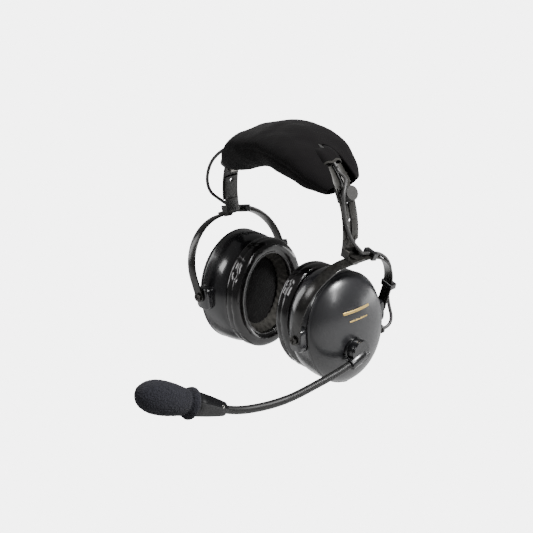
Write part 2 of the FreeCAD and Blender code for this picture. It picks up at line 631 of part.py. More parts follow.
    # Ear seal: an oval ring with a round edge towards the head.
    ring = cut(shell_oval("Dims.SealHalfWidth", "Dims.SealHalfHeight",
                          "-Dims.SealFace", "-Dims.BaseDepth - 0.02"),
               shell_oval("Dims.OpeningHalfWidth", "Dims.OpeningHalfHeight",
                          "-Dims.SealFace - 1", "-Dims.BaseDepth + 1"))
    doc.recompute()
    seal = doc.addObject("Part::Fillet", "Seal")
    seal.Base = ring
    rounded = []
    for number, line in enumerate(ring.Shape.Edges, start=1):
        box = line.BoundBox
        wide = box.XLength > 1.5 * DIM["OpeningHalfWidth"] and box.ZLength < 0.01
        if wide and abs(box.ZMin + DIM["SealFace"]) < 0.01:
            rounded.append((number, DIM["SealRise"], DIM["SealRise"]))
    seal.Edges = rounded
    node(seal, side + "_ear_seal", at)

    rim = cut(shell_oval("Dims.OpeningHalfWidth - 0.3", "Dims.OpeningHalfHeight - 0.3", "-28", "-20.4"),
              shell_oval("Dims.OpeningHalfWidth - 4.5", "Dims.OpeningHalfHeight - 4.5", "-29", "-20"))
    node(rim, side + "_foam_rim", at)
    node(shell_oval("Dims.CupHalfWidth - 4", "Dims.CupHalfHeight - 4", "-20.2", "-17.5"), side + "_ear_foam", at)

    plate = shell_oval("Dims.CupHalfWidth - 3.4", "Dims.CupHalfHeight - 3.5",
                       str(PLATE_INNER), str(PLATE_OUTER))
    plate_holes = [shell_rod("Dims.SpeakerRadius", PLATE_INNER - 1, PLATE_OUTER + 1, (0, 0))]
    for spot in POST_SPOTS:
        plate_holes.append(shell_rod(1.4, PLATE_INNER - 1, PLATE_OUTER + 1, spot))
    node(cut(plate, fuse(*plate_holes)), side + "_speaker_plate", at)
    speaker = fuse(shell_rod("Dims.SpeakerRadius - 0.1", -17.3, -8, (0, 0)),
                   shell_rod("Dims.SpeakerRadius + 3", -17.3, PLATE_INNER - 0.02, (0, 0)),
                   shell_rod(9, -8.5, -4.5, (0, 0)))
    node(speaker, side + "_speaker", at)
    screws = []
    for spot in POST_SPOTS:
        screws.append(fuse(shell_rod(1.2, -16, -4, spot), shell_rod(2.6, -17.2, PLATE_INNER - 0.02, spot)))
    node(group(*screws), side + "_cup_screws", at)
    foam = shell_oval("Dims.CupHalfWidth - 9", "Dims.CupHalfHeight - 9", "-4.2", "8")
    foam_holes = [shell_rod(3.4 + FOAM_CLEAR, -10, 12, spot) for spot in POST_SPOTS]
    node(cut(foam, fuse(*foam_holes)), side + "_damping_foam", at)

# ---------------------------------------------------------------- main cord inlet
at = cup_frames["left"]
gland = fuse(rod(4.5, gland_y - 1, gland_y + 5.5, "y", x=GLAND_X, z=GLAND_Z),
             rod(6.2, gland_y - 3.2, gland_y - 0.8, "y", x=GLAND_X, z=GLAND_Z),
             rod(4.5, gland_y - DIM["GlandLength"], gland_y - 3, "y", x=GLAND_X, z=GLAND_Z))
bore = rod("Dims.GlandBore / 2", gland_y - 20, gland_y + 20, "y", x=GLAND_X, z=GLAND_Z)
node(cut(gland, bore), "main_cord_gland", at)

# ---------------------------------------------------------------- boom microphone
# The holder's frame: X along the boom as it leaves the holder, Y across it and down, Z outward.
BOOM_SLOPE = 18.0
BOOM_ACROSS = 6.0
BOOM_LEVEL = 30.5
BOOM_START = 5.4
BASE_TOP = 26.6
pivot_place = place(-DIM["BoomPivotFore"], -DIM["BoomPivotDrop"], 0)
holder_place = pivot_place.multiply(place(angle=180 + BOOM_SLOPE))
base = cut(rod(10.3, 18, BASE_TOP, x=-DIM["BoomPivotFore"], y=-DIM["BoomPivotDrop"]),
           ellipsoid("Dims.CupHalfWidth + 0.02", "Dims.CupHalfHeight + 0.02",
                     "Dims.DomeDepth + 0.02", dome_frame))
base = cut(base, rod(2.2, 10, 40, x=-DIM["BoomPivotFore"], y=-DIM["BoomPivotDrop"]))
node(base, "boom_base", at)
pivot_screw = fuse(rod(2.15, 16, 31), rod(3.4, BASE_TOP + 0.02, 30.4), rod(4.6, 30.4, 32.2),
                   rod(4.0, 16, 18.5))
node(pivot_screw, "boom_pivot_screw", at.multiply(pivot_place))

holder_low = BASE_TOP + 0.1
HOLDER_SPLIT = 32.4
HOLDER_TOP = 35.2
CHANNEL_FLOOR = 33.3
CLAMP_RADIUS = 5.4
everywhere = (-20, 20)
clamp = fuse(rod(CLAMP_RADIUS, -3, 13, "x", y=BOOM_ACROSS, z=BOOM_LEVEL),
             block((-3, 13), (BOOM_ACROSS - CLAMP_RADIUS, BOOM_ACROSS + CLAMP_RADIUS), (20, BOOM_LEVEL)))
disc = cut(rod(9.6, 20, HOLDER_TOP), block(everywhere, (-4.6, BOOM_ACROSS), (CHANNEL_FLOOR, 60)))
outline = common(fuse(disc, clamp), block(everywhere, everywhere, (holder_low, 60)))
lower = common(outline, block(everywhere, everywhere, (0, HOLDER_SPLIT)))
upper = common(outline, block(everywhere, everywhere, (HOLDER_SPLIT + 0.02, 60)))
boom_way = rod("Dims.BoomDiameter / 2 + 0.03", BOOM_START - 0.1, 20, "x", y=BOOM_ACROSS, z=BOOM_LEVEL)
screw_way = fuse(rod(3.46, 20, 31), rod(4.8, 30.3, HOLDER_SPLIT + 0.01))
node(cut(lower, fuse(boom_way, screw_way)), "boom_holder", at.multiply(holder_place))
boom_way = rod("Dims.BoomDiameter / 2 + 0.03", BOOM_START - 0.1, 20, "x", y=BOOM_ACROSS, z=BOOM_LEVEL)
node(cut(upper, boom_way), "boom_cap", at.multiply(holder_place))

holder_at = at.multiply(holder_place)
leave = holder_at.multVec(vec(BOOM_START, BOOM_ACROSS, BOOM_LEVEL))
lead = holder_at.multVec(vec(19, BOOM_ACROSS, BOOM_LEVEL))
MIC_START = vec(81.0, -143.5, -155.0)
MIC_AXIS = vec(-0.135, -0.892, 0.431).normalize()
mic_entry = MIC_START + MIC_AXIS * 3
boom_points = [tuple(leave), tuple(lead), (89.7, -58.0, -160.6), (88.3, -82.0, -163.6),
               (86.3, -106.0, -163.2), tuple(MIC_START - MIC_AXIS * 9), tuple(mic_entry)]
tube("boom_gooseneck", boom_points, DIM["BoomDiameter"])

# Microphone frame: Z along the boom's end, X level.
mic_x = Z_AXIS.cross(MIC_AXIS).normalize()
mic_y = MIC_AXIS.cross(mic_x)
mic_at = FreeCAD.Placement(MIC_START, FreeCAD.Rotation(mic_x, mic_y, MIC_AXIS, "ZXY"))
MIC_LENGTH = 33.0
mic_sections = []
for half_x, half_y, z in ((4.8, 4.8, 0), (7.6, 9.4, MIC_LENGTH)):
    ring = add("Ellipse", MajorRadius=max(half_x, half_y), MinorRadius=min(half_x, half_y))
    ring.Placement = place(z=z, angle=90)
    mic_sections.append(ring)
body = doc.addObject("Part::Loft", "MicBody")
body.Sections = mic_sections
body.Solid = True
body.Ruled = True
stem_way = rod("Dims.BoomDiameter / 2 + 0.03", -1, 3.05)
pocket = rod(3.0, 3.0, MIC_LENGTH - 2)
mouth = rod(5.1, MIC_LENGTH - 6, MIC_LENGTH + 1)
screw_spot = 9.0
screw_way = rod(1.3, -12, 12, "x", z=screw_spot)
hollow = cut(body, fuse(stem_way, pocket, mouth))
inner_half = common(hollow, block((-20, 0), (-20, 20), (-1, 60)))
outer_half = common(hollow, block((0.02, 20), (-20, 20), (-1, 60)))
node(cut(inner_half, screw_way), "mic_cover", mic_at)
screw_way = rod(1.3, -12, 12, "x", z=screw_spot)
head_way = rod(2.3, 4.6, 12, "x", z=screw_spot)
node(cut(outer_half, fuse(screw_way, head_way)), "mic_housing", mic_at)
mic_screw = fuse(rod(1.25, -4.5, 5, "x", z=screw_spot), rod(2.2, 4.62, 6.2, "x", z=screw_spot))
node(mic_screw, "mic_screw", mic_at)
node(rod(4.9, MIC_LENGTH - 5, MIC_LENGTH + 7), "mic_capsule", mic_at)

# Windscreen: a rolled hem round the housing's end, a neck and a foam bulb.
HEM_RADIUS = 12.4
NECK_RADIUS = 11.2
hem_low = MIC_LENGTH + 0.2
hem_high = hem_low + 7.5
bulb_middle = hem_high + 0.5 * DIM["WindscreenLength"]
hem = rod(HEM_RADIUS, hem_low, hem_high)
neck = add("Cone", Radius1=NECK_RADIUS, Radius2=13.3, Height=bulb_middle - hem_high + 0.5)
neck.Placement = place(z=hem_high - 0.5)
bulb = add("Ellipsoid", Radius1=DIM["WindscreenLength"] / 2, Radius2="Dims.WindscreenRadius")
bulb.setExpression("Radius3", "Dims.WindscreenRadius")
bulb.Angle1 = -90
bulb.Placement = place(z=bulb_middle)
capsule_way = rod(5.4, MIC_LENGTH, MIC_LENGTH + 8)
node(cut(fuse(hem, neck, bulb), capsule_way), "windscreen", mic_at)

# ---------------------------------------------------------------- crossover cord
# One cord joins the two earphones.  It leaves the rear of each dome, runs up the outside of the
# stirrup's rear leg through two clips, then beside the slider arm and through the pad.
cord_level = half_plate + DIM["CordDiameter"] / 2 + 0.15
cord_arc = DIM["StirrupArc"] + cord_level
CORD_LOW, CORD_HIGH = -1.0, 80.5


def arc_point(angle, along=0):
    """Point of the cord on the stirrup's rear corner, moved along its own direction."""
    turn = math.radians(angle)
    x = DIM["CrownFlat"] + cord_arc * math.cos(turn) - along * math.sin(turn)
    return vec(x, arc_height + cord_arc * math.sin(turn) + along * math.cos(turn), 0)


for side, at in stirrup_frames.items():
    rear = 1 if side == "left" else -1
    ends = [arc_point(angle) for angle in (CORD_LOW, (CORD_LOW + CORD_HIGH) / 2, CORD_HIGH)]
    bend = Part.Arc(*[vec(point.x * rear, point.y, point.z) for point in ends])
    sweep(side + "_stirrup_cord", Part.Wire([bend.toShape()]), DIM["CordDiameter"], [cord_arc], at)

# From the leg clip to the dome, as a loop behind the cup.
for side, at in stirrup_frames.items():
    rear = 1 if side == "left" else -1
    cup = cup_frames[side]
    edge = dome_edge(GROMMET_Y, GROMMET_Z, rear)
    points = [at.multVec(vec(p.x * rear, p.y, p.z)) for p in (arc_point(CORD_LOW), arc_point(CORD_LOW, -9.5))]
    points.append(cup.multVec(vec(edge + 15.5 * rear, GROMMET_Y - 1.0, GROMMET_Z + 2.5)))
    points.append(cup.multVec(vec(edge + 1.2 * rear, GROMMET_Y, GROMMET_Z)))
    tube(side + "_cup_cord", [tuple(p) for p in points], DIM["CordDiameter"])

# From the crown clip up to the pad, and through the pad.
pad_cord_radius = band_mid + cord_offset
MOUTH_ANGLE = 38.0
arcs = []
for turn in (SIDE_TURN["left"], SIDE_TURN["right"]):
    side_arc = [polar(pad_cord_radius, a)
                for a in (MOUTH_ANGLE, (MOUTH_ANGLE + shoulder_angle) / 2, shoulder_angle)]
    bend = DIM["ShoulderRadius"] + cord_offset
    corner_arc = [shoulder_centre + polar(bend, a)
                  for a in (shoulder_angle, (shoulder_angle + shoulder_turn) / 2, shoulder_turn)]
    arcs.append([[turn.multVec(p) for p in arc] for arc in (side_arc, corner_arc)])
crest = [top_centre + polar(top_radius + cord_offset, a) for a in (shoulder_turn, 90, 180 - shoulder_turn)]
sequence = [arcs[0][0], arcs[0][1], crest, arcs[1][1][::-1], arcs[1][0][::-1]]
path = Part.Wire([Part.Arc(*arc).toShape() for arc in sequence])
sweep("pad_cord", path, DIM["CordDiameter"], [pad_cord_radius, bend, top_radius + cord_offset], ARC)

# Beside the arms: (angle, radius, y) round the arc centre, then points in the stirrup's frame.
RUN = {
    "left": [(34.4, 80.35, 0.0), (30.0, 83.8, 1.5), (25.6, 86.0, -4.8), (20.0, 85.8, -10.4),
             (12.6, 82.0, -9.4), (4.0, 80.2, -7.6), (-5.5, 80.6, -3.0)],
    "right": [(34.4, 80.35, 0.0), (30.0, 87.0, -0.6), (24.0, 94.0, -2.4), (15.0, 102.0, -4.0),
              (5.5, 105.4, -4.6), (-1.5, 103.2, -3.0)],
}
LANDING = {
    "left": [(0.5, 77.5, -1.5), (5.0, 72.8, 1.5)],
    "right": [(3.5, 78.0, 13.0), (5.0, 71.8, 4.6)],
}
for side, turn in SIDE_TURN.items():
    rear = 1 if side == "left" else -1
    frame = turn.multiply(ARC)
    at = stirrup_frames[side]
    points = [frame.multVec(polar(pad_cord_radius, MOUTH_ANGLE))]
    points += [frame.multVec(polar(radius, angle, y * rear)) for angle, radius, y in RUN[side]]
    landing = [vec(*p) for p in LANDING[side]] + [arc_point(CORD_HIGH, 7.0), arc_point(CORD_HIGH)]
    points += [at.multVec(vec(p.x * rear, p.y, p.z)) for p in landing]
    tube(side + "_arm_cord", [tuple(p) for p in points], DIM["CordDiameter"])

# ---------------------------------------------------------------- checks and export
doc.recompute()
for obj in doc.Objects:
    if "Invalid" in obj.State or "Error" in obj.State:
        raise RuntimeError("%s failed: %s" % (obj.Name, obj.State))
for obj in nodes:
    if obj.Shape.isNull() or not obj.Shape.isValid():
        raise RuntimeError(obj.Label + " has no valid shape")
for obj in nodes:
    obj.Shape.exportStep("parts/%s.step" % obj.Label)
print("wrote", len(nodes), "parts")
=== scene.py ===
import math
import random

import bpy
from mathutils import Matrix, Vector, noise


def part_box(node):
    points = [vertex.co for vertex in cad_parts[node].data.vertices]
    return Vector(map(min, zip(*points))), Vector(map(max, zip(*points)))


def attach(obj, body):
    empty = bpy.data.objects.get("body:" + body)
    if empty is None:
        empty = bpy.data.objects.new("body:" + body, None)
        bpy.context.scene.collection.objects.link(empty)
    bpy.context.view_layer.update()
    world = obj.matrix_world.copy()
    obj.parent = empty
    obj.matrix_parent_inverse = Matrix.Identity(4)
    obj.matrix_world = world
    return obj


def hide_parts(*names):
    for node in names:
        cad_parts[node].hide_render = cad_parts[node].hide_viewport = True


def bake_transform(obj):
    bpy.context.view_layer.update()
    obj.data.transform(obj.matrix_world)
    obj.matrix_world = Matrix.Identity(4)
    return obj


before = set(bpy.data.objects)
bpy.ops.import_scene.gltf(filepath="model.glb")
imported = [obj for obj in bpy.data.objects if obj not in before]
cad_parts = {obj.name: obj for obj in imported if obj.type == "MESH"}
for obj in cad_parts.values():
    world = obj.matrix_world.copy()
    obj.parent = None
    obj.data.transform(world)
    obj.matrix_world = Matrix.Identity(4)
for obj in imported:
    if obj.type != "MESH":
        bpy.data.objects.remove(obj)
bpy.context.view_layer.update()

random.seed(7)
MM = 0.001
SIDES = ("left", "right")


def v3(x, y, z):
    return Vector((x, y, z))


# ---------------------------------------------------------------- camera
# The view is from ahead and to the wearer's left.  Distances here are in metres, except for the
# drop from the pad's underside to the centre of the headband's arc, in millimetres like all below.
ARC_DROP = 42.6
VIEW_AZIMUTH, VIEW_ELEVATION, VIEW_ROLL = math.radians(49.75), math.radians(19.73), math.radians(-3.08)
VIEW_DISTANCE = 1.16762
VIEW_SIDEWAYS, VIEW_UPWARD = -0.02074, -0.04755
view_right = v3(math.cos(VIEW_AZIMUTH), math.sin(VIEW_AZIMUTH), 0)
view_back = v3(math.sin(VIEW_AZIMUTH) * math.cos(VIEW_ELEVATION),
               -math.cos(VIEW_AZIMUTH) * math.cos(VIEW_ELEVATION), math.sin(VIEW_ELEVATION))
view_up = view_back.cross(view_right)
view_target = view_right * VIEW_SIDEWAYS + view_up * VIEW_UPWARD + v3(0, 0, -ARC_DROP * MM)
image_right = view_right * math.cos(VIEW_ROLL) + view_up * math.sin(VIEW_ROLL)
image_up = view_up * math.cos(VIEW_ROLL) - view_right * math.sin(VIEW_ROLL)
camera_data = bpy.data.cameras.new("camera")
camera_data.lens = 91.4
camera_data.sensor_width = 36
camera_data.clip_start = 0.05
camera_data.clip_end = 20
camera = bpy.data.objects.new("camera", camera_data)
bpy.context.scene.collection.objects.link(camera)
turn = Matrix((image_right, image_up, view_back)).transposed().to_4x4()
camera.matrix_world = Matrix.Translation(view_target + view_back * VIEW_DISTANCE) @ turn
bpy.context.scene.camera = camera

# ---------------------------------------------------------------- frames, in millimetres
SLIDER_R = 77.33
STRIP_T = 1.2
PIVOT_UP = 65.06
CROWN_R = SLIDER_R + 7.23
CUP_HALF_WIDTH, CUP_HALF_HEIGHT = 43.0, 51.5
CROWN_ANGLE = {"left": 18.61, "right": 13.22}
CUP_TILT = {"left": 1.9, "right": 1.0}
HALF_TURN = {"left": Matrix.Identity(4), "right": Matrix.Rotation(math.pi, 4, "Z")}
ARC = Matrix.Translation((0, 0, -ARC_DROP))


def polar(radius, angle, y=0.0):
    turn = math.radians(angle)
    return v3(radius * math.cos(turn), y, radius * math.sin(turn))


def leaning(origin, lean):
    """Frame with X towards +Y, Y up and outward by the lean, and Z outward."""
    turn = math.radians(lean)
    up = v3(math.sin(turn), 0, math.cos(turn))
    out = v3(math.cos(turn), 0, -math.sin(turn))
    return Matrix.Translation(origin) @ Matrix((v3(0, 1, 0), up, out)).transposed().to_4x4()


STIRRUP = {}
CUP = {}
for side in SIDES:
    lean = math.radians(CROWN_ANGLE[side])
    pivots = polar(CROWN_R, -CROWN_ANGLE[side]) - v3(math.sin(lean), 0, math.cos(lean)) * PIVOT_UP
    STIRRUP[side] = HALF_TURN[side] @ ARC @ leaning(pivots, CROWN_ANGLE[side])
    CUP[side] = HALF_TURN[side] @ ARC @ leaning(pivots, CUP_TILT[side])
SHELL = Matrix.Rotation(math.radians(11.3), 4, "Z") @ Matrix.Translation((0, -2.3, 0))
REAR = {"left": 1, "right": -1}


# ---------------------------------------------------------------- mesh helpers
def add_mesh(name, points, faces, material=None, smooth=True):
    """Mesh object from points in millimetres."""
    data = bpy.data.meshes.new(name)
    data.from_pydata([p * MM for p in points], [], faces)
    data.validate()
    for face in data.polygons:
        face.use_smooth = smooth
    obj = bpy.data.objects.new(name, data)
    bpy.context.scene.collection.objects.link(obj)
    if material:
        data.materials.append(material)
    return obj


def skin(name, rings, material=None, closed=True, ends=(False, False), frame_matrix=None):
    """Surface through rings of points.  A closed ring joins its last point to its first."""
    count = len(rings[0])
    points = [p for ring in rings for p in ring]
    if frame_matrix is not None:
        points = [frame_matrix @ p for p in points]
    faces = []
    across = count if closed else count - 1
    for row in range(len(rings) - 1):
        for column in range(across):
            after = (column + 1) % count
            faces.append((row * count + column, row * count + after, (row + 1) * count + after,
                          (row + 1) * count + column))
    if ends[0]:
        faces.append(tuple(reversed(range(count))))
    if ends[1]:
        faces.append(tuple(range((len(rings) - 1) * count, len(rings) * count)))
    return add_mesh(name, points, faces, material)


def modify(obj, kind, **settings):
    modifier = obj.modifiers.new(kind.lower(), kind)
    for key, value in settings.items():
        setattr(modifier, key, value)


def bake_modifiers(obj):
    """Replaces the object's mesh by its evaluated mesh."""
    graph = bpy.context.evaluated_depsgraph_get()
    data = bpy.data.meshes.new_from_object(obj.evaluated_get(graph))
    obj.modifiers.clear()
    obj.data = data


def displace(obj, move):
    """Moves each vertex along its normal by move(place), in metres."""
    vertices = obj.data.vertices
    normals = [vertex.normal.copy() for vertex in vertices]
    moved = []
    for vertex, normal in zip(vertices, normals):
        moved.extend(vertex.co + normal * move(vertex.co))
    vertices.foreach_set("co", moved)
    obj.data.update()


def turns(count, offset=0.0):
    """Even angles round a circle, each with its cosine and sine."""
    for number in range(count):
        turn = 2 * math.pi * (number + offset) / count
        yield turn, math.cos(turn), math.sin(turn)


def squared(value, power):
    """A sine or cosine raised to a power, which squares off an oval when the power is under 1."""
    return math.copysign(abs(value) ** power, value)


def oval_ring(half_width, half_height, z, count=96):
    return [v3(half_width * c, half_height * s, z) for turn, c, s in turns(count)]


def spline_points(controls, spacing=1.0):
    """Even points along the smooth line that the control points give."""
    data = bpy.data.curves.new("route", "CURVE")
    data.dimensions = "3D"
    data.resolution_u = 24
    spline = data.splines.new("NURBS")
    spline.points.add(len(controls) - 1)
    for point, at in zip(spline.points, controls):
        point.co = (*at, 1)
    spline.order_u = 3
    spline.use_endpoint_u = True
    obj = bpy.data.objects.new("route", data)
    bpy.context.scene.collection.objects.link(obj)
    graph = bpy.context.evaluated_depsgraph_get()
    mesh = bpy.data.meshes.new_from_object(obj.evaluated_get(graph))
    raw = [v.co.copy() for v in mesh.vertices]
    bpy.data.objects.remove(obj)
    bpy.data.meshes.remove(mesh)
    lengths = [0.0]
    for a, b in zip(raw, raw[1:]):
        lengths.append(lengths[-1] + (b - a).length)
    steps = max(2, round(lengths[-1] / spacing))
    even = []
    index = 0
    for step in range(steps + 1):
        want = lengths[-1] * step / steps
        while index < len(raw) - 2 and lengths[index + 1] < want:
            index += 1
        span = lengths[index + 1] - lengths[index]
        share = (want - lengths[index]) / span if span else 0
        even.append(raw[index].lerp(raw[index + 1], min(1, max(0, share))))
    return even


def tube_rings(path, radius, sides=20, radius_at=None):
    """Rings square to a path, carried along it without twist."""
    rings = []
    normal = None
    travelled = 0.0
    for index, point in enumerate(path):
        before = path[max(0, index - 1)]
        after = path[min(len(path) - 1, index + 1)]
        along = (after - before).normalized()
        if normal is None:
            helper = v3(0, 0, 1) if abs(along.z) < 0.9 else v3(1, 0, 0)
            normal = along.cross(helper).normalized()
        else:
            normal = (normal - along * normal.dot(along)).normalized()
        side = along.cross(normal)
        if index:
            travelled += (point - path[index - 1]).length
        ring = []
        for turn, c, s in turns(sides):
            reach = radius_at(travelled, turn) if radius_at else radius
            ring.append(point + (normal * c + side * s) * reach)
        rings.append(ring)
    return rings


def nearest(path, place):
    """Number of the path's point that is nearest to a place."""
    return min(range(len(path)), key=lambda i: (path[i] - place).length)


# ---------------------------------------------------------------- materials
class Nodes:
    """Builds one node material."""

    def __init__(self, name):
        self.material = bpy.data.materials.new(name)
        self.material.use_nodes = True
        self.tree = self.material.node_tree
        self.shader = self.tree.nodes["Principled BSDF"]
        self.place = self.add("ShaderNodeTexCoord").outputs["Object"]
        self.normal = None

    def add(self, kind, **inputs):
        node = self.tree.nodes.new(kind)
        for key, value in inputs.items():
            node.inputs[key.replace("_", " ")].default_value = value
        return node

    def link(self, out, into):
        self.tree.links.new(out, into)

    def noise(self, size_mm, detail=3.0, rough=0.55, distort=0.0):
        node = self.add("ShaderNodeTexNoise", Scale=1000.0 / size_mm, Detail=detail, Roughness=rough,
                        Distortion=distort)
        self.link(self.place, node.inputs["Vector"])
        return node.outputs["Fac"]

    def cells(self, size_mm):
        node = self.add("ShaderNodeTexVoronoi", Scale=1000.0 / size_mm)
        self.link(self.place, node.inputs["Vector"])
        return node.outputs["Distance"]

    def waves(self, size_mm, direction, distort=0.0):
        node = self.add("ShaderNodeTexWave", Scale=50.0 / size_mm * 3.14159, Distortion=distort)
        node.bands_direction = direction
        self.link(self.place, node.inputs["Vector"])
        return node.outputs["Fac"]

    def span(self, value, low, high, from_low=0.0, from_high=1.0):
        node = self.add("ShaderNodeMapRange", From_Min=from_low, From_Max=from_high, To_Min=low, To_Max=high)
        self.link(value, node.inputs["Value"])
        return node.outputs["Result"]

    def multiply(self, first, second):
        node = self.add("ShaderNodeMath")
        node.operation = "MULTIPLY"
        self.link(first, node.inputs[0])
        self.link(second, node.inputs[1])
        return node.outputs["Value"]

    def blend(self, factor, first, second):
        node = self.add("ShaderNodeMix")
        node.data_type = "RGBA"
        colours = [socket for socket in node.inputs if socket.type == "RGBA"]
        for socket, value in zip(colours, (first, second)):
            if isinstance(value, tuple):
                socket.default_value = (*value, 1)
            else:
                self.link(value, socket)
        self.link(factor, node.inputs["Factor"])
        return [socket for socket in node.outputs if socket.type == "RGBA"][0]

    def bump(self, height, depth_mm, strength=1.0):
        node = self.add("ShaderNodeBump", Strength=strength, Distance=depth_mm * MM)
        self.link(height, node.inputs["Height"])
        if self.normal is not None:
            self.link(self.normal, node.inputs["Normal"])
        self.normal = node.outputs["Normal"]

    def done(self, colour, roughness, **plain):
        for value, socket in ((colour, self.shader.inputs["Base Color"]),
                              (roughness, self.shader.inputs["Roughness"])):
            if isinstance(value, tuple):
                socket.default_value = (*value, 1)
            elif isinstance(value, float):
                socket.default_value = value
            else:
                self.link(value, socket)
        for key, value in plain.items():
            self.shader.inputs[key.replace("_", " ")].default_value = value
        if self.normal is not None:
            self.link(self.normal, self.shader.inputs["Normal"])
        return self.material


def painted_metal(name, colour, worn, rough, edge=0.35):
    """Coated metal: fine orange peel, faint blotches and paler, smoother edges."""
    n = Nodes(name)
    peel = n.noise(0.7, 4)
    n.bump(peel, 0.03, 0.6)
    geometry = n.add("ShaderNodeNewGeometry")
    edges = n.span(geometry.outputs["Pointiness"], 0.0, 1.0, 0.52, 0.60)
    patchy = n.multiply(edges, n.span(n.noise(3.0, 4), 0.0, 1.0, 0.35, 0.65))
    base = n.blend(n.noise(9.0, 5), tuple(c * 0.86 for c in colour), tuple(c * 1.14 for c in colour))
    tint = n.blend(n.span(patchy, 0.0, edge), base, worn)
    return n.done(tint, n.span(n.noise(4.0, 5), rough - 0.07, rough + 0.09), Metallic=0.35)


def bare_metal(name, colour, rough):
    """Uncoated metal: fine brushed grain and a patchy shine."""
    n = Nodes(name)
    n.bump(n.noise(0.25, 2), 0.012, 0.5)
    tint = n.blend(n.noise(2.5, 4), tuple(c * 0.75 for c in colour), tuple(min(1, c * 1.2) for c in colour))
    return n.done(tint, n.span(n.noise(1.4, 4), rough - 0.08, rough + 0.12), Metallic=0.95)


def moulded(name, colour, rough, grain_mm=0.45, depth=0.02, coat=0.0, specular=0.5):
    """Moulded plastic: spark-eroded grain with faint flow and handling marks."""
    n = Nodes(name)
    n.bump(n.noise(14.0, 2), 0.05, 0.35)
    n.bump(n.noise(grain_mm, 3), depth, 0.6)
    tint = n.blend(n.noise(11.0, 5), tuple(c * 0.85 for c in colour), tuple(c * 1.2 for c in colour))
    smear = n.noise(6.0, 6, 0.65, 1.2)
    return n.done(tint, n.span(smear, rough - 0.05, rough + 0.08), Specular_IOR_Level=specular,
                  Coat_Weight=coat, Coat_Roughness=0.12)


def vinyl(name, colour, rough):
    """Thin glossy vinyl: fine pebble grain, soft creases and a slightly uneven shine."""
    n = Nodes(name)
    n.bump(n.noise(9.0, 2, 0.45, 0.6), 0.35, 0.4)
    n.bump(n.cells(0.75), 0.02, 0.5)
    tint = n.blend(n.noise(8.0, 4), tuple(c * 0.8 for c in colour), tuple(c * 1.3 for c in colour))
    return n.done(tint, n.span(n.noise(3.0, 4), rough - 0.05, rough + 0.1), Specular_IOR_Level=0.4,
                  Coat_Weight=0.22, Coat_Roughness=0.07)


def knit(name, colour, pale, rib_mm=0.9):
    """Brushed knit: crossing ribs, loose fibres, pilling and a soft sheen."""
    n = Nodes(name)
    ribs = n.multiply(n.waves(rib_mm, "DIAGONAL", 0.8), n.waves(rib_mm * 0.8, "Z", 0.8))
    n.bump(n.noise(10.0, 4, 0.6), 0.5, 0.5)
    n.bump(ribs, 0.16, 0.75)
    n.bump(n.noise(0.35, 4, 0.7), 0.10, 0.7)
    tint = n.blend(n.noise(12.0, 6, 0.65), colour, pale)
    fibres = n.blend(n.span(n.noise(0.6, 3, 0.7), 0.0, 0.4, 0.5, 0.8), tint, tuple(c * 1.8 for c in pale))
    return n.done(fibres, n.span(n.noise(5.0, 3), 0.86, 1.0), Sheen_Weight=0.03, Sheen_Roughness=0.5,
                  Specular_IOR_Level=0.04)


def foam(name, colour, pale, cell_mm):
    """Open foam: dark pores between paler walls."""
    n = Nodes(name)
    pores = n.cells(cell_mm)
    n.bump(n.span(pores, 1.0, 0.0, 0.0, 0.7), cell_mm * 0.45, 0.9)
    n.bump(n.noise(cell_mm * 0.45, 3, 0.7), cell_mm * 0.2, 0.8)
    tint = n.blend(n.span(pores, 0.0, 1.0, 0.05, 0.6), colour, pale)
    return n.done(tint, n.span(n.noise(3.0), 0.9, 1.0), Specular_IOR_Level=0.05, Sheen_Weight=0.04,
                  Sheen_Roughness=0.6)


def rubber(name, colour, rough=0.6):
    """Cord sheath: fine grain over slight waves."""
    n = Nodes(name)
    n.bump(n.noise(0.5, 3), 0.03, 0.6)
    n.bump(n.noise(5.0, 2), 0.08, 0.3)
    tint = n.blend(n.noise(7.0, 5), tuple(c * 0.8 for c in colour), tuple(c * 1.25 for c in colour))
    return n.done(tint, n.span(n.noise(2.5, 4), rough - 0.08, rough + 0.1), Specular_IOR_Level=0.4)


SPRING = painted_metal("spring_steel_paint", (0.0135, 0.0130, 0.0115), (0.085, 0.08, 0.07), 0.38)
BRACKET = painted_metal("bracket_paint", (0.010, 0.0098, 0.009), (0.16, 0.15, 0.14), 0.34)
STIRRUP_PAINT = painted_metal("stirrup_paint", (0.0075, 0.0073, 0.0068), (0.10, 0.095, 0.085), 0.22)
SCREW = bare_metal("screw_steel", (0.26, 0.25, 0.235), 0.34)
DARK_SCREW = bare_metal("black_screw", (0.055, 0.053, 0.05), 0.38)
DOME = moulded("dome_plastic", (0.0095, 0.0095, 0.0105), 0.29, 0.35, 0.012, 0.12)
BASE = moulded("base_plastic", (0.0065, 0.0065, 0.0075), 0.19, 0.5, 0.010, 0.3)
HOLDER_PLASTIC = moulded("holder_plastic", (0.0045, 0.0045, 0.005), 0.24, 0.4, 0.012, 0.25)
KNOB = moulded("knob_plastic", (0.016, 0.0155, 0.0145), 0.5, 0.4, 0.03)
MIC = moulded("mic_plastic", (0.0078, 0.0078, 0.0082), 0.62, 0.4, 0.02, 0.0, 0.35)
# Darker copy of the microphone plastic: painted shade for the housing's upward faces.
MIC_SHADED_TOP = moulded("mic_cover_plastic", (0.0022, 0.0022, 0.0026), 0.50, 0.4, 0.02, 0.0, 0.12)
SEAL = vinyl("seal_vinyl", (0.0040, 0.0038, 0.0038), 0.17)
CLOTH = knit("pad_knit", (0.0030, 0.0027, 0.0029), (0.0050, 0.0045, 0.0047), 0.55)
LINING = knit("pad_lining", (0.016, 0.0155, 0.0145), (0.028, 0.027, 0.025), 0.6)
# Near-black material for the sheets that paint shade into the arms' slit and slot.
SLOT_SHADE_PAINT = moulded("black_tape", (0.0035, 0.0035, 0.0035), 0.6)
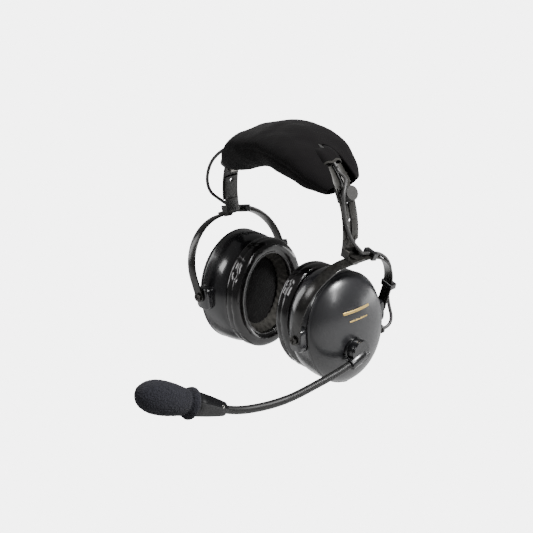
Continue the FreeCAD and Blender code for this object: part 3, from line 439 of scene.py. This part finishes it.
RIM = knit("rim_cloth", (0.012, 0.0115, 0.0105), (0.045, 0.043, 0.039), 0.6)
EAR_FOAM = foam("ear_foam", (0.0009, 0.0008, 0.0008), (0.0032, 0.0030, 0.0029), 1.3)
WIND_FOAM = foam("windscreen_foam", (0.0035, 0.0035, 0.0046), (0.0125, 0.0125, 0.0160), 1.1)
CORD = rubber("cord_rubber", (0.022, 0.0215, 0.021), 0.5)
BOOM = painted_metal("boom_coat", (0.008, 0.008, 0.008), (0.06, 0.06, 0.058), 0.40)
GOLD = bare_metal("gold_print", (0.55, 0.39, 0.13), 0.42)

# ---------------------------------------------------------------- crossover cord
CORD_R = 1.5
CORD_OFFSET = 4.2
BAND_MID = SLIDER_R - STRIP_T - 0.1
PAD_CORD_R = BAND_MID + CORD_OFFSET
SHOULDER_R, SHOULDER_ANGLE, SHOULDER_TURN = 32.0, 42.0, 66.0
SHOULDER_AT = polar(BAND_MID - SHOULDER_R, SHOULDER_ANGLE)
TOP_REACH = SHOULDER_AT.x / math.cos(math.radians(SHOULDER_TURN))
TOP_R = SHOULDER_R + TOP_REACH
TOP_AT = v3(0, 0, SHOULDER_AT.z - TOP_REACH * math.sin(math.radians(SHOULDER_TURN)))
STIRRUP_ARC, STIRRUP_HALF_T, CORD_GAP = 44.0, 0.8, 0.15
CORD_ARC = STIRRUP_ARC + STIRRUP_HALF_T + CORD_R + CORD_GAP
ARC_ACROSS, ARC_HEIGHT = 8.5, PIVOT_UP - STIRRUP_ARC
CORD_LOW, CORD_HIGH = -1.0, 80.5
MOUTH_ANGLE = 38.0


def corner_point(angle, along=0.0, reach=CORD_ARC):
    """Point of the cord on the stirrup's rear corner, moved on along the cord."""
    turn = math.radians(angle)
    return v3(ARC_ACROSS + reach * math.cos(turn) - along * math.sin(turn),
              ARC_HEIGHT + reach * math.sin(turn) + along * math.cos(turn), 0)


def on_stirrup(side, point):
    return STIRRUP[side] @ v3(point.x * REAR[side], point.y, point.z)


def on_cup(side, x, y, z):
    return CUP[side] @ v3(x * REAR[side], y, z)


# Route beside each arm: angle and radius in the arc's plane, and the distance behind it.
ARM_RUN = {
    "left": [(34.4, 80.35, 0.0), (30.0, 83.8, 1.5), (25.6, 86.0, -4.8), (20.0, 85.8, -10.4),
             (12.6, 82.0, -9.4), (4.0, 80.2, -7.6), (-5.5, 80.6, -3.0)],
    "right": [(34.4, 80.35, 0.0), (30.0, 87.0, -0.6), (24.0, 94.0, -2.4), (15.0, 102.0, -4.0),
              (5.5, 105.4, -4.6), (-1.5, 103.2, -3.0)],
}
# Where the route comes down on the stirrup, in the stirrup's frame.
LANDING = {
    "left": [v3(0.5, 77.5, -1.5), v3(5.0, 72.8, 1.5)],
    "right": [v3(3.5, 78.0, 13.0), v3(5.0, 71.8, 4.6)],
}


def cord_piece(name, path):
    """Cord along a path in millimetres."""
    obj = skin(name, tube_rings(path, CORD_R), CORD, True, (True, True))
    return obj


GROMMET_Y, GROMMET_Z = -15.5, 10.0
for side in SIDES:
    arm = HALF_TURN[side] @ ARC
    mouth = arm @ polar(PAD_CORD_R, MOUTH_ANGLE)
    controls = [arm @ polar(PAD_CORD_R, MOUTH_ANGLE + 14), arm @ polar(PAD_CORD_R, MOUTH_ANGLE + 5), mouth]
    controls += [arm @ polar(r, a, y * REAR[side]) for a, r, y in ARM_RUN[side]]
    landing = LANDING[side] + [corner_point(CORD_HIGH, 7.0), corner_point(CORD_HIGH)]
    controls += [on_stirrup(side, point) for point in landing]
    route = spline_points(controls)
    route = route[nearest(route, mouth):]
    split = nearest(route, arm @ polar(82.0 if side == "left" else 100.0, 4.0, -7.0 * REAR[side]))
    upper = cord_piece(side + "_cord_upper", route[:split + 1])
    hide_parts(side + "_arm_cord")
    # Nearest point of the route to a place just past the clamp knob; nothing uses it.
    past_knob = arm @ (polar(86.0, 17.5, -9.0) if side == "left" else polar(96.0, 22.0, 2.8))
    first = nearest(route, past_knob)
    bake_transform(upper)
    lower = cord_piece(side + "_cord_lower", route[split:])
    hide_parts(side + "_arm_cord")
    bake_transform(lower)

    # Its control points stand outside the stirrup's corner, so that the spline lies on it.
    step = (CORD_HIGH - CORD_LOW) / 6
    outside = CORD_ARC / math.cos(math.radians(step / 2))
    controls = [corner_point(CORD_HIGH - step * (i + 0.5), 0.0, outside) for i in range(6)]
    controls = [corner_point(CORD_HIGH)] + controls + [corner_point(CORD_LOW)]
    along = spline_points([on_stirrup(side, point) for point in controls])
    along = cord_piece(side + "_cord_stirrup", along)
    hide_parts(side + "_stirrup_cord")
    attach(along, side + "_stirrup")

    low, high = [corner / MM for corner in map(Vector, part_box(side + "_cord_grommet"))]
    centre = CUP[side].inverted() @ ((low + high) / 2)
    face = abs(centre.x) + 1.5
    controls = [on_stirrup(side, corner_point(CORD_LOW)), on_stirrup(side, corner_point(CORD_LOW, -9.5)),
                on_cup(side, face + 14.3, GROMMET_Y - 1.0, GROMMET_Z + 2.5),
                on_cup(side, face, GROMMET_Y, GROMMET_Z)]
    loop = cord_piece(side + "_cord_cup", spline_points(controls))
    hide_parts(side + "_cup_cord")
    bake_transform(loop)

crest_angles = [SHOULDER_TURN + (180 - 2 * SHOULDER_TURN) * number / 6 for number in range(7)]
crest = [TOP_AT + polar(TOP_R + CORD_OFFSET, angle) for angle in crest_angles]
bend = [SHOULDER_AT + polar(SHOULDER_R + CORD_OFFSET, a) for a in (46, 54, 62)]
inside = [polar(PAD_CORD_R, MOUTH_ANGLE)] + bend + crest
flip = HALF_TURN["right"]
inside += [flip @ p for p in reversed(bend)] + [flip @ polar(PAD_CORD_R, MOUTH_ANGLE)]
pad_path = spline_points([ARC @ p for p in inside])
pad_cord = cord_piece("cord_in_pad", pad_path)
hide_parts("pad_cord")
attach(pad_cord, "headband")

# ---------------------------------------------------------------- head pad
PAD_END = 27.03
PAD_SHIFT = 3.0
# Half sizes of the pad at its ends and at its middle.
PAD_SIZES = {"width": (15.7, 33.2), "above": (4.2, 12.3), "below": (6.8, 19.0)}


def pad_line(angle):
    """Middle line of the pad, which is flatter over the crown than the sliders' arc."""
    rise = math.sin(math.radians(angle))
    low = math.sin(math.radians(20))
    share = max(0.0, min(1.0, (rise - low) / (1 - low)))
    return polar(SLIDER_R - 15.77 * share ** 0.69, angle)


def pad_size(key, angle):
    tip, middle = PAD_SIZES[key]
    full = 1 - abs((angle - 90) / (90 - PAD_END)) ** 4.4
    return tip + (middle - tip) * full


def lip_gap(angle):
    """Half width of the opening on the pad's outside, near its ends."""
    from_end = min(angle, 180 - angle) - PAD_END
    return 12.4 * max(0.0, 1 - from_end / 27.0) ** 0.5


def pad_ring(angle, count):
    """Open ring round the pad, from one lip of its slit to the other."""
    width, above, below = [pad_size(key, angle) for key in ("width", "above", "below")]
    along = (pad_line(angle + 0.4) - pad_line(angle - 0.4)).normalized()
    out = v3(along.z, 0, -along.x)
    centre = pad_line(angle)
    start = math.asin(min(1.0, (lip_gap(angle) / width) ** (1 / 0.75)))
    ring = []
    for number in range(count):
        turn = math.pi / 2 + start + (2 * math.pi - 2 * start) * number / (count - 1)
        c, s = math.cos(turn), math.sin(turn)
        y = width * squared(c, 0.75)
        rise = above * abs(s) ** 0.9 if s > 0 else -below * abs(s) ** 0.8
        seam = math.exp(-((rise + 2.0) / 0.9) ** 2) * 0.8
        y -= math.copysign(seam, y)
        if s > 0:
            rise += 0.9 * math.exp(-(y / 6.0) ** 2)
        # The ends slant: the rear flap stops short of the front one and stands further out.
        near_end = max(0.0, 1 - (min(angle, 180 - angle) - PAD_END) / 14.0)
        behind = near_end ** 2 * max(0.0, y - 5.5)
        slant = 0.3 * behind * (1 if angle < 90 else -1)
        y += 0.36 * behind
        ring.append(ARC @ (centre + out * rise + along * slant + v3(0, y + PAD_SHIFT, 0)))
    return ring


RINGS, AROUND = 100, 121
rings = [pad_ring(PAD_END + (180 - 2 * PAD_END) * i / RINGS, AROUND) for i in range(RINGS + 1)]
pad = skin("head_pad_cover", rings, CLOTH, False)
modify(pad, "WELD", merge_threshold=0.00005)
modify(pad, "SOLIDIFY", thickness=0.0022, offset=-1)
bake_modifiers(pad)
displace(pad, lambda at: noise.noise(at * 55) * 0.0011 + noise.noise(at * 130 + v3(3, 1, 2)) * 0.00045)
modify(pad, "SUBSURF", levels=1, render_levels=1)
bake_modifiers(pad)
pad.data.materials.clear()
pad.data.materials.append(CLOTH)
for face in pad.data.polygons:
    face.use_smooth = True
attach(pad, "headband")
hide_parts("head_pad")

for side in SIDES:
    arm = HALF_TURN[side] @ ARC

    # Grey lining under the strip, seen in the pad's open end.
    rows = []
    for i in range(25):
        angle = PAD_END + 1.0 + i
        half = min(pad_size("width", angle) - 3.0, 14.0)
        shares = [j / 8 for j in range(-8, 9)]
        rows.append([arm @ polar(BAND_MID - 1.2 - 3.0 * abs(share) ** 3, angle,
                                 half * share + PAD_SHIFT * REAR[side] * 0.5) for share in shares])
    lining = skin(side + "_pad_lining", rows, LINING, False)
    modify(lining, "SOLIDIFY", thickness=0.0015, offset=-1)
    bake_modifiers(lining)
    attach(lining, "headband")

    # Black sheet on the arm's inner face, behind the narrow part of its slit: painted shade that makes the
    # slit look dark.
    low, high = 25.7, 34.4 if side == "left" else 31.6
    rows = []
    for i in range(13):
        angle = low + (high - low) * i / 12 - CROWN_ANGLE[side]
        rows.append([arm @ polar(SLIDER_R - STRIP_T / 2 - 0.04, angle, y) for y in (-2.2, 0.0, 2.2)])
    slit_shade_sheet = skin(side + "_slit_liner", rows, SLOT_SHADE_PAINT, False)
    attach(slit_shade_sheet, side + "_arm")

    # Black sheet on the strip, seen through the arm's slot: painted shade that makes the slot look dark.
    rows = [[arm @ polar(BAND_MID + STRIP_T / 2 + 0.03, 26.5 + 0.5 * i, y) for y in (-4.0, 0.0, 4.0)]
            for i in range(31)]
    slot_shade_sheet = skin(side + "_slot_tape", rows, SLOT_SHADE_PAINT, False)
    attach(slot_shade_sheet, "headband")

    # Inner layer of the pad that lies over the cord, with a grey lined edge inside the mouth.
    for name, cloth, first, last, sink, fall in (("inner_layer", CLOTH, 43.5, 72.0, 0.0, 2.5),
                                                 ("lined_edge", LINING, 40.5, 45.0, 0.35, 0.0)):
        rows = []
        steps = 18
        for i in range(steps + 1):
            angle = first + (last - first) * i / steps
            row = []
            for j in range(-12, 13):
                share = j / 12
                rise = CORD_OFFSET + 2.4 - sink - 7.0 * share ** 6 - fall * (i / steps) ** 3
                rise += 0.25 * noise.noise(v3(i * 0.4, j * 0.3, 1))
                lift = polar(SHOULDER_R + rise, angle + math.sin(j * 0.5), 10.5 * share)
                row.append(arm @ (SHOULDER_AT + lift))
            rows.append(row)
        layer = skin("%s_pad_%s" % (side, name), rows, cloth, False)
        modify(layer, "SOLIDIFY", thickness=0.0009, offset=-1)
        bake_modifiers(layer)
        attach(layer, "headband")

# ---------------------------------------------------------------- ear cups
DOME_BASE, DOME_DEPTH, PARTING = 3.0, 22.5, 6.0
SEAL_HALF_WIDTH, SEAL_HALF_HEIGHT, SEAL_SEAM_Z = 39.8, 49.6, -31
SEAL_STEPS = 360
RIM_FOLDS = 30


def dome_point(turn, level):
    """Point of the dome's surface: level runs from its widest plane, 0, to its top, 1."""
    tilt = level * math.pi / 2
    return v3(CUP_HALF_WIDTH * math.cos(turn) * math.cos(tilt),
              CUP_HALF_HEIGHT * math.sin(turn) * math.cos(tilt), DOME_BASE + DOME_DEPTH * math.sin(tilt))


for side in SIDES:
    at = CUP[side] @ SHELL
    first = math.asin((PARTING - DOME_BASE) / DOME_DEPTH) / (math.pi / 2)
    rings = [oval_ring(40.4, 48.9, PARTING - 0.1), oval_ring(42.0, 50.5, PARTING - 0.15),
             oval_ring(42.75, 51.2, PARTING + 0.1), oval_ring(42.95, 51.45, PARTING + 0.6),
             oval_ring(42.85, 51.35, PARTING + 1.1)]
    for i in range(44):
        level = first + 0.045 + (1 - first - 0.045) * (i / 43)
        rings.append([dome_point(turn, min(level, 0.9995)) for turn, c, s in turns(96)])
    dome = skin(side + "_dome_shell", rings, DOME, True, (False, True), at)
    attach(dome, side + "_cup")
    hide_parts(side + "_dome")

    # Cup shell: inset from its widest oval, and height, from the parting line to its inner edge.
    profile = [(6.0, 5.9), (1.6, 5.92), (0.5, 5.85), (0.1, 5.4), (0.0, 4.6), (0.0, 2.0), (0.0, -2.0),
               (0.1, -5.5), (0.35, -9.0), (0.8, -12.5), (1.5, -15.6), (2.5, -18.4), (3.7, -20.6), (5.0, -22.0),
               (6.2, -22.65), (7.6, -22.8), (15.0, -22.8), (15.2, -22.5), (15.2, -20.4)]
    rings = [oval_ring(42.7 - inset, 51.1 - inset, z, 112) for inset, z in profile]
    base = skin(side + "_cup_shell", rings, BASE, True, (False, False), at)
    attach(base, side + "_cup")
    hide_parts(side + "_cup_base")

    if side == "left":
        # Two plain bars in gold, where the original carries a printed mark.
        for name, low, high, start, end in (("gold_bar_1", 20.5, 22.9, -12.0, 17.5),
                                            ("gold_bar_2", 13.1, 14.3, -8.0, 12.0)):
            rows = []
            for i in range(25):
                across = start + (end - start) * i / 24
                row = []
                for j in range(5):
                    up = low + (high - low) * j / 4 - 0.175 * across
                    flat = (across / CUP_HALF_WIDTH) ** 2 + (up / CUP_HALF_HEIGHT) ** 2
                    row.append(v3(across, up, DOME_BASE + DOME_DEPTH * math.sqrt(1 - flat) + 0.04))
                rows.append(row)
            bar = skin(name, rows, GOLD, False, frame_matrix=at)
            modify(bar, "SOLIDIFY", thickness=0.0001, offset=1)
            bake_modifiers(bar)
            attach(bar, "left_cup")

    # Raised pads that carry the pivot screws, blended into the shell.
    for front in (-1, 1):
        rows = []
        for x, grow in ((36.0, 1.0), (45.5, 0.8), (48.6, 0.3), (49.1, -0.1), (49.3, -0.7)):
            low, high, z_low, z_high = -11.5 - grow, 8.0 + grow, -8.5 - grow, 5.8
            rows.append([v3(x * front, (low + high) / 2 + (high - low) / 2 * squared(s, 0.45),
                            (z_low + z_high) / 2 + (z_high - z_low) / 2 * squared(c, 0.45))
                         for turn, c, s in turns(40)])
        name = "%s_pivot_boss_%s" % (side, "rear" if front * REAR[side] > 0 else "front")
        boss = skin(name, rows, BASE, True, (False, True), CUP[side])
        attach(boss, side + "_cup")

    # Ear seal: a stuffed vinyl ring with a seam round its outside and piping round the opening.
    section = [(2.6, -22.4), (1.4, -22.9), (0.35, -24.2), (-0.2, -26.0), (-0.35, -28.0), (-0.15, -29.6),
               (0.25, -30.6), (0.45, -31.0), (0.2, -31.5), (-0.15, -32.6), (-0.2, -34.0), (0.2, -35.8),
               (1.2, -37.4), (2.8, -38.7), (5.0, -39.5), (7.4, -39.6), (9.4, -39.0), (10.8, -38.0),
               (11.5, -37.2), (12.1, -37.4), (12.7, -37.2), (13.0, -36.4), (12.9, -35.5), (12.6, -33.0),
               (12.6, -29.0), (12.8, -23.0)]
    rings = []
    wrinkles = [(random.uniform(0, 6.28), random.uniform(-0.03, 0.03), random.uniform(0.03, 0.09),
                 random.choice((-0.45, 0.35, 0.5, 0.6))) for _ in range(18)]
    for inset, z in section:
        ring = []
        outer = max(0.0, 1 - abs(z - SEAL_SEAM_Z) / 9.0)
        for turn, c, s in turns(SEAL_STEPS):
            pucker = 0.6 * noise.noise(v3(c * 2.6, s * 2.6, 5.0 if side == "left" else 0.0))
            for centre, slope, wide, deep in wrinkles:
                away = (turn - centre - slope * (z - SEAL_SEAM_Z) + math.pi) % (2 * math.pi) - math.pi
                pucker += deep * math.exp(-(away / wide) ** 2)
            depth = inset + pucker * (outer if inset < 5 else 0.35)
            sag = 0.5 * noise.noise(v3(c * 3, s * 3, 7.0))
            ring.append(v3((SEAL_HALF_WIDTH - depth) * c, (SEAL_HALF_HEIGHT - depth) * s,
                           z + sag * min(1, max(0, (-z - 30) / 8))))
        rings.append(ring)
    seal = skin(side + "_seal_cushion", rings, SEAL, True, (False, False), at)
    modify(seal, "SUBSURF", levels=1, render_levels=1)
    bake_modifiers(seal)
    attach(seal, side + "_cup")
    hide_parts(side + "_ear_seal")

    # Gathered cloth rim inside the opening, and the foam disc behind it.
    rings = []
    for share in [i / 12 for i in range(13)]:
        ring = []
        for turn, c, s in turns(SEAL_STEPS):
            wave = math.sin(RIM_FOLDS * turn + 2.2 * noise.noise(v3(c * 2, s * 2, 1.0)))
            inset = 13.0 + 5.6 * share ** 1.4 + wave * 1.1 * math.sin(math.pi * min(1, share * 1.25)) \
                + 0.5 * noise.noise(v3(c * 12, s * 12, share * 3))
            z = -33.5 + 9.5 * share - 1.6 * math.sin(math.pi * share) + wave * 0.6 * share
            ring.append(v3((SEAL_HALF_WIDTH - inset) * c, (SEAL_HALF_HEIGHT - inset) * s, z))
        rings.append(ring)
    rim = skin(side + "_gathered_rim", rings, RIM, True, (False, False), at)
    modify(rim, "SOLIDIFY", thickness=0.0009, offset=1)
    bake_modifiers(rim)
    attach(rim, side + "_cup")
    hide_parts(side + "_foam_rim")

    rings = []
    for i in range(24):
        size = 1 - i / 23.3
        ring = []
        for turn, c, s in turns(96):
            x, y = 36.0 * size * c, 45.0 * size * s
            dish = 1.2 * (1 - size * size)
            ring.append(v3(x, y, -22.4 + dish + 0.35 * noise.noise(v3(x * 0.12, y * 0.12, 2.0))))
        rings.append(ring)
    disc = skin(side + "_foam_screen", rings, EAR_FOAM, True, (False, True), at)
    modify(disc, "SOLIDIFY", thickness=0.002, offset=1)
    bake_modifiers(disc)
    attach(disc, side + "_cup")
    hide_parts(side + "_ear_foam")

# ---------------------------------------------------------------- boom
BOOM_R = 3.3
BOOM_LEVEL, BOOM_ACROSS, BOOM_SLOPE = 30.5, 6.0, 18.0
HOLDER_AT = CUP["left"] @ Matrix.Translation((-6.5, -14.0, 0)) \
    @ Matrix.Rotation(math.radians(180 + BOOM_SLOPE), 4, "Z")
MIC_START = v3(81.0, -143.5, -155.0)
MIC_AXIS = v3(-0.135, -0.892, 0.431).normalized()
MIC_TWIST = math.radians(-28)
boom_controls = [HOLDER_AT @ v3(5.4, BOOM_ACROSS, BOOM_LEVEL), HOLDER_AT @ v3(19, BOOM_ACROSS, BOOM_LEVEL),
                 v3(89.7, -58.0, -160.6), v3(88.3, -82.0, -163.6), v3(86.3, -106.0, -163.2),
                 MIC_START - MIC_AXIS * 9, MIC_START + MIC_AXIS * 3]
boom_path = spline_points(boom_controls, 0.25)
RIDGED, RIDGE_PITCH = 78.0, 1.9


def boom_radius(travelled, turn):
    """Helical ridges of the wound gooseneck, then a smooth sleeve."""
    if travelled > RIDGED + 1:
        return BOOM_R + 0.12
    if travelled > RIDGED:
        return BOOM_R - 0.2 + 0.32 * (travelled - RIDGED)
    phase = 2 * math.pi * travelled / RIDGE_PITCH + turn
    return BOOM_R - 0.32 + 0.384 * abs(math.sin(phase / 2)) ** 0.8


rings = tube_rings(boom_path, BOOM_R, 28, boom_radius)
gooseneck = skin("boom_flexible_neck", rings, BOOM, True, (True, True))
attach(gooseneck, "boom")
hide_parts("boom_gooseneck")

mic_x = v3(0, 0, 1).cross(MIC_AXIS).normalized()
mic_y = MIC_AXIS.cross(mic_x)
MIC_FRAME = Matrix.Translation(MIC_START) @ Matrix((mic_x, mic_y, MIC_AXIS)).transposed().to_4x4()

# Housing: a tapered, squarish shell in two halves of plastic; the upper half, above the ridge, is darkened as
# painted shade on its upward faces.
MIC_STEPS = 64
rings = []
for z, half_x, half_y in ((2.2, 3.3, 3.3), (2.7, 4.3, 4.3), (3.5, 4.7, 4.8), (10.0, 5.5, 6.1),
                          (17.0, 6.3, 7.3), (25.0, 7.0, 8.4), (32.8, 7.6, 9.4)):
    rings.append([v3(half_x * squared(c, 0.5), half_y * squared(s, 0.5), z)
                  for turn, c, s in turns(MIC_STEPS, 0.5)])
shell = skin("mic_shell", rings, MIC, True, (True, True), MIC_FRAME @ Matrix.Rotation(MIC_TWIST, 4, "Z"))
shell.data.materials.append(MIC_SHADED_TOP)
# Faces of the upper half take the darker copy: painted shade.
for face in shell.data.polygons:
    if MIC_STEPS / 8 <= face.index % MIC_STEPS < MIC_STEPS * 5 / 8:
        face.material_index = 1
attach(shell, "boom")
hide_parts("mic_housing")
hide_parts("mic_cover")

screw_at = Matrix.Rotation(MIC_TWIST + math.radians(57), 4, "Z") @ Matrix.Translation((6.1, 0, 9.0))
rings = []
for radius, high in ((1.5, -1.0), (1.5, 0.25), (1.25, 0.55), (0.75, 0.7), (0.7, 0.35), (0.05, 0.3)):
    rings.append([v3(high, radius * c, radius * s) for turn, c, s in turns(24)])
mic_screw = skin("mic_screw_head", rings, SCREW, True, (True, True), MIC_FRAME @ screw_at)
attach(mic_screw, "boom")
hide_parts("mic_screw")

# Windscreen: foam bulb with a rolled hem round the housing's end.
WS_LOW, WS_HEM, WS_LONG, WS_RADIUS, WS_WIDEST = 33.2, 7.5, 45.0, 13.4, 0.48
hem_top = WS_LOW + WS_HEM
outline = [(6.0, 0.6), (9.5, -0.1), (11.6, 0.4), (12.6, 1.7), (12.9, 3.4), (12.5, 5.2), (11.5, 6.4),
           (10.4, 6.9), (9.7, 7.5), (9.9, 8.2), (10.6, WS_HEM + 1.6)]
outline = [(radius, WS_LOW + up) for radius, up in outline]
for i in range(1, 31):
    share = i / 30
    if share > WS_WIDEST:
        bulb = (1 - ((share - WS_WIDEST) / (1 - WS_WIDEST)) ** 2.4) ** 0.5
    else:
        bulb = 1 - 0.20 * ((WS_WIDEST - share) / WS_WIDEST) ** 1.8
    radius = max(0.05, WS_RADIUS * bulb) if share < 1 else 0.05
    outline.append((radius, hem_top + 1.6 + (WS_LONG - 1.6) * share))
rings = []
for radius, z in outline:
    ring = []
    for turn, c, s in turns(72):
        soft = 1 + 0.035 * noise.noise(v3(c * 1.5, s * 1.5, z * 0.08))
        ring.append(v3(radius * c * soft, radius * s * soft, z))
    rings.append(ring)
windscreen = skin("windscreen_foam_cover", rings, WIND_FOAM, True, (False, True), MIC_FRAME)
modify(windscreen, "SUBSURF", levels=2, render_levels=2)
bake_modifiers(windscreen)
displace(windscreen, lambda at: noise.noise(at * 900) * 0.00022 + noise.noise(at * 420) * 0.0002)
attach(windscreen, "boom")
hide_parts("windscreen")

# ---------------------------------------------------------------- CAD nodes that are shown
CAD_LOOKS = {
    SPRING: ("headband_strip", "slider_arm"),
    STIRRUP_PAINT: ("stirrup",),
    BRACKET: ("arm_foot", "clamp_washer"),
    KNOB: ("clamp_knob",),
    SCREW: ("clamp_nut", "cup_screws", "mic_capsule"),
    DARK_SCREW: ("arm_rivets", "pivot_screws", "pivot_nuts", "boom_pivot_screw"),
    HOLDER_PLASTIC: ("boom_holder", "boom_cap", "boom_base", "cable_clips", "speaker_plate", "speaker"),
    MIC: ("main_cord_gland",),
    CORD: ("cord_grommet",),
    EAR_FOAM: ("damping_foam",),
}
# Rounding of each kind's edges, in millimetres.
BEVELS = {"slider_arm": 0.25, "stirrup": 0.3, "arm_foot": 0.4, "clamp_washer": 0.3, "clamp_knob": 0.45,
          "pivot_screws": 0.25, "boom_holder": 0.5, "boom_cap": 0.6, "boom_base": 0.6, "cable_clips": 0.5,
          "headband_strip": 0.25, "main_cord_gland": 0.4, "cord_grommet": 0.3}
for label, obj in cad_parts.items():
    kind = label.replace("left_", "").replace("right_", "")
    for material, kinds in CAD_LOOKS.items():
        if kind in kinds:
            obj.data.materials.clear()
            obj.data.materials.append(material)
    if kind in BEVELS:
        modify(obj, "WELD", merge_threshold=0.00001)
        modify(obj, "BEVEL", width=BEVELS[kind] * MM, segments=2, limit_method="ANGLE",
               angle_limit=math.radians(40), harden_normals=False)

# ---------------------------------------------------------------- floor and light
FLOOR_Z, FLOOR_HALF = -0.33, 9
PAPER_WHITE, SURROUND = 5.5, 0.2
LAMP_DISTANCE = 1.5
floor_corners = [(x * FLOOR_HALF, y * FLOOR_HALF, FLOOR_Z) for x, y in ((-1, -1), (1, -1), (1, 1), (-1, 1))]
floor_data = bpy.data.meshes.new("floor")
floor_data.from_pydata(floor_corners, [], [(0, 1, 2, 3)])
floor = bpy.data.objects.new("floor", floor_data)
bpy.context.scene.collection.objects.link(floor)


def seen_white(tree, dim, out):
    """Overexposed paper white where it is seen directly, and a dim surround for what it lights."""
    ray = tree.nodes.new("ShaderNodeLightPath")
    white = tree.nodes.new("ShaderNodeEmission" if out == "Material Output" else "ShaderNodeBackground")
    white.inputs["Color"].default_value = (1, 1, 1, 1)
    white.inputs["Strength"].default_value = PAPER_WHITE
    mix = tree.nodes.new("ShaderNodeMixShader")
    tree.links.new(ray.outputs["Is Camera Ray"], mix.inputs[0])
    tree.links.new(dim, mix.inputs[1])
    tree.links.new(white.outputs[0], mix.inputs[2])
    tree.links.new(mix.outputs[0], tree.nodes[out].inputs["Surface"])


paper = Nodes("paper")
floor_data.materials.append(paper.done((0.55, 0.55, 0.55), 0.9, Specular_IOR_Level=0.1))
seen_white(paper.tree, paper.shader.outputs[0], "Material Output")
world = bpy.data.worlds.new("studio")
world.use_nodes = True
sky = world.node_tree.nodes["Background"]
sky.inputs["Color"].default_value = (1, 1, 1, 1)
sky.inputs["Strength"].default_value = SURROUND
seen_white(world.node_tree, sky.outputs[0], "World Output")
bpy.context.scene.world = world


def softbox(name, direction, size, power):
    """Area light that faces the headset from a direction."""
    data = bpy.data.lights.new(name, "AREA")
    data.shape = "RECTANGLE"
    data.size, data.size_y = size
    data.energy = power
    lamp = bpy.data.objects.new(name, data)
    bpy.context.scene.collection.objects.link(lamp)
    aim = v3(0.0, 0.0, -0.08)
    lamp.location = aim + v3(*direction).normalized() * LAMP_DISTANCE
    lamp.rotation_euler = (aim - lamp.location).to_track_quat("-Z", "Y").to_euler()


softbox("key", (0.62, 0.17, 0.76), (0.34, 0.34), 70)
softbox("streak", (0.90, 0.02, 0.46), (0.16, 0.6), 7)
softbox("rear_card", (0.26, 1.0, -0.45), (1.6, 1.1), 40)
softbox("front", (-0.55, -1.0, 0.75), (0.45, 0.45), 8)
softbox("left_card", (-1.0, -0.35, 0.25), (0.5, 0.9), 6)
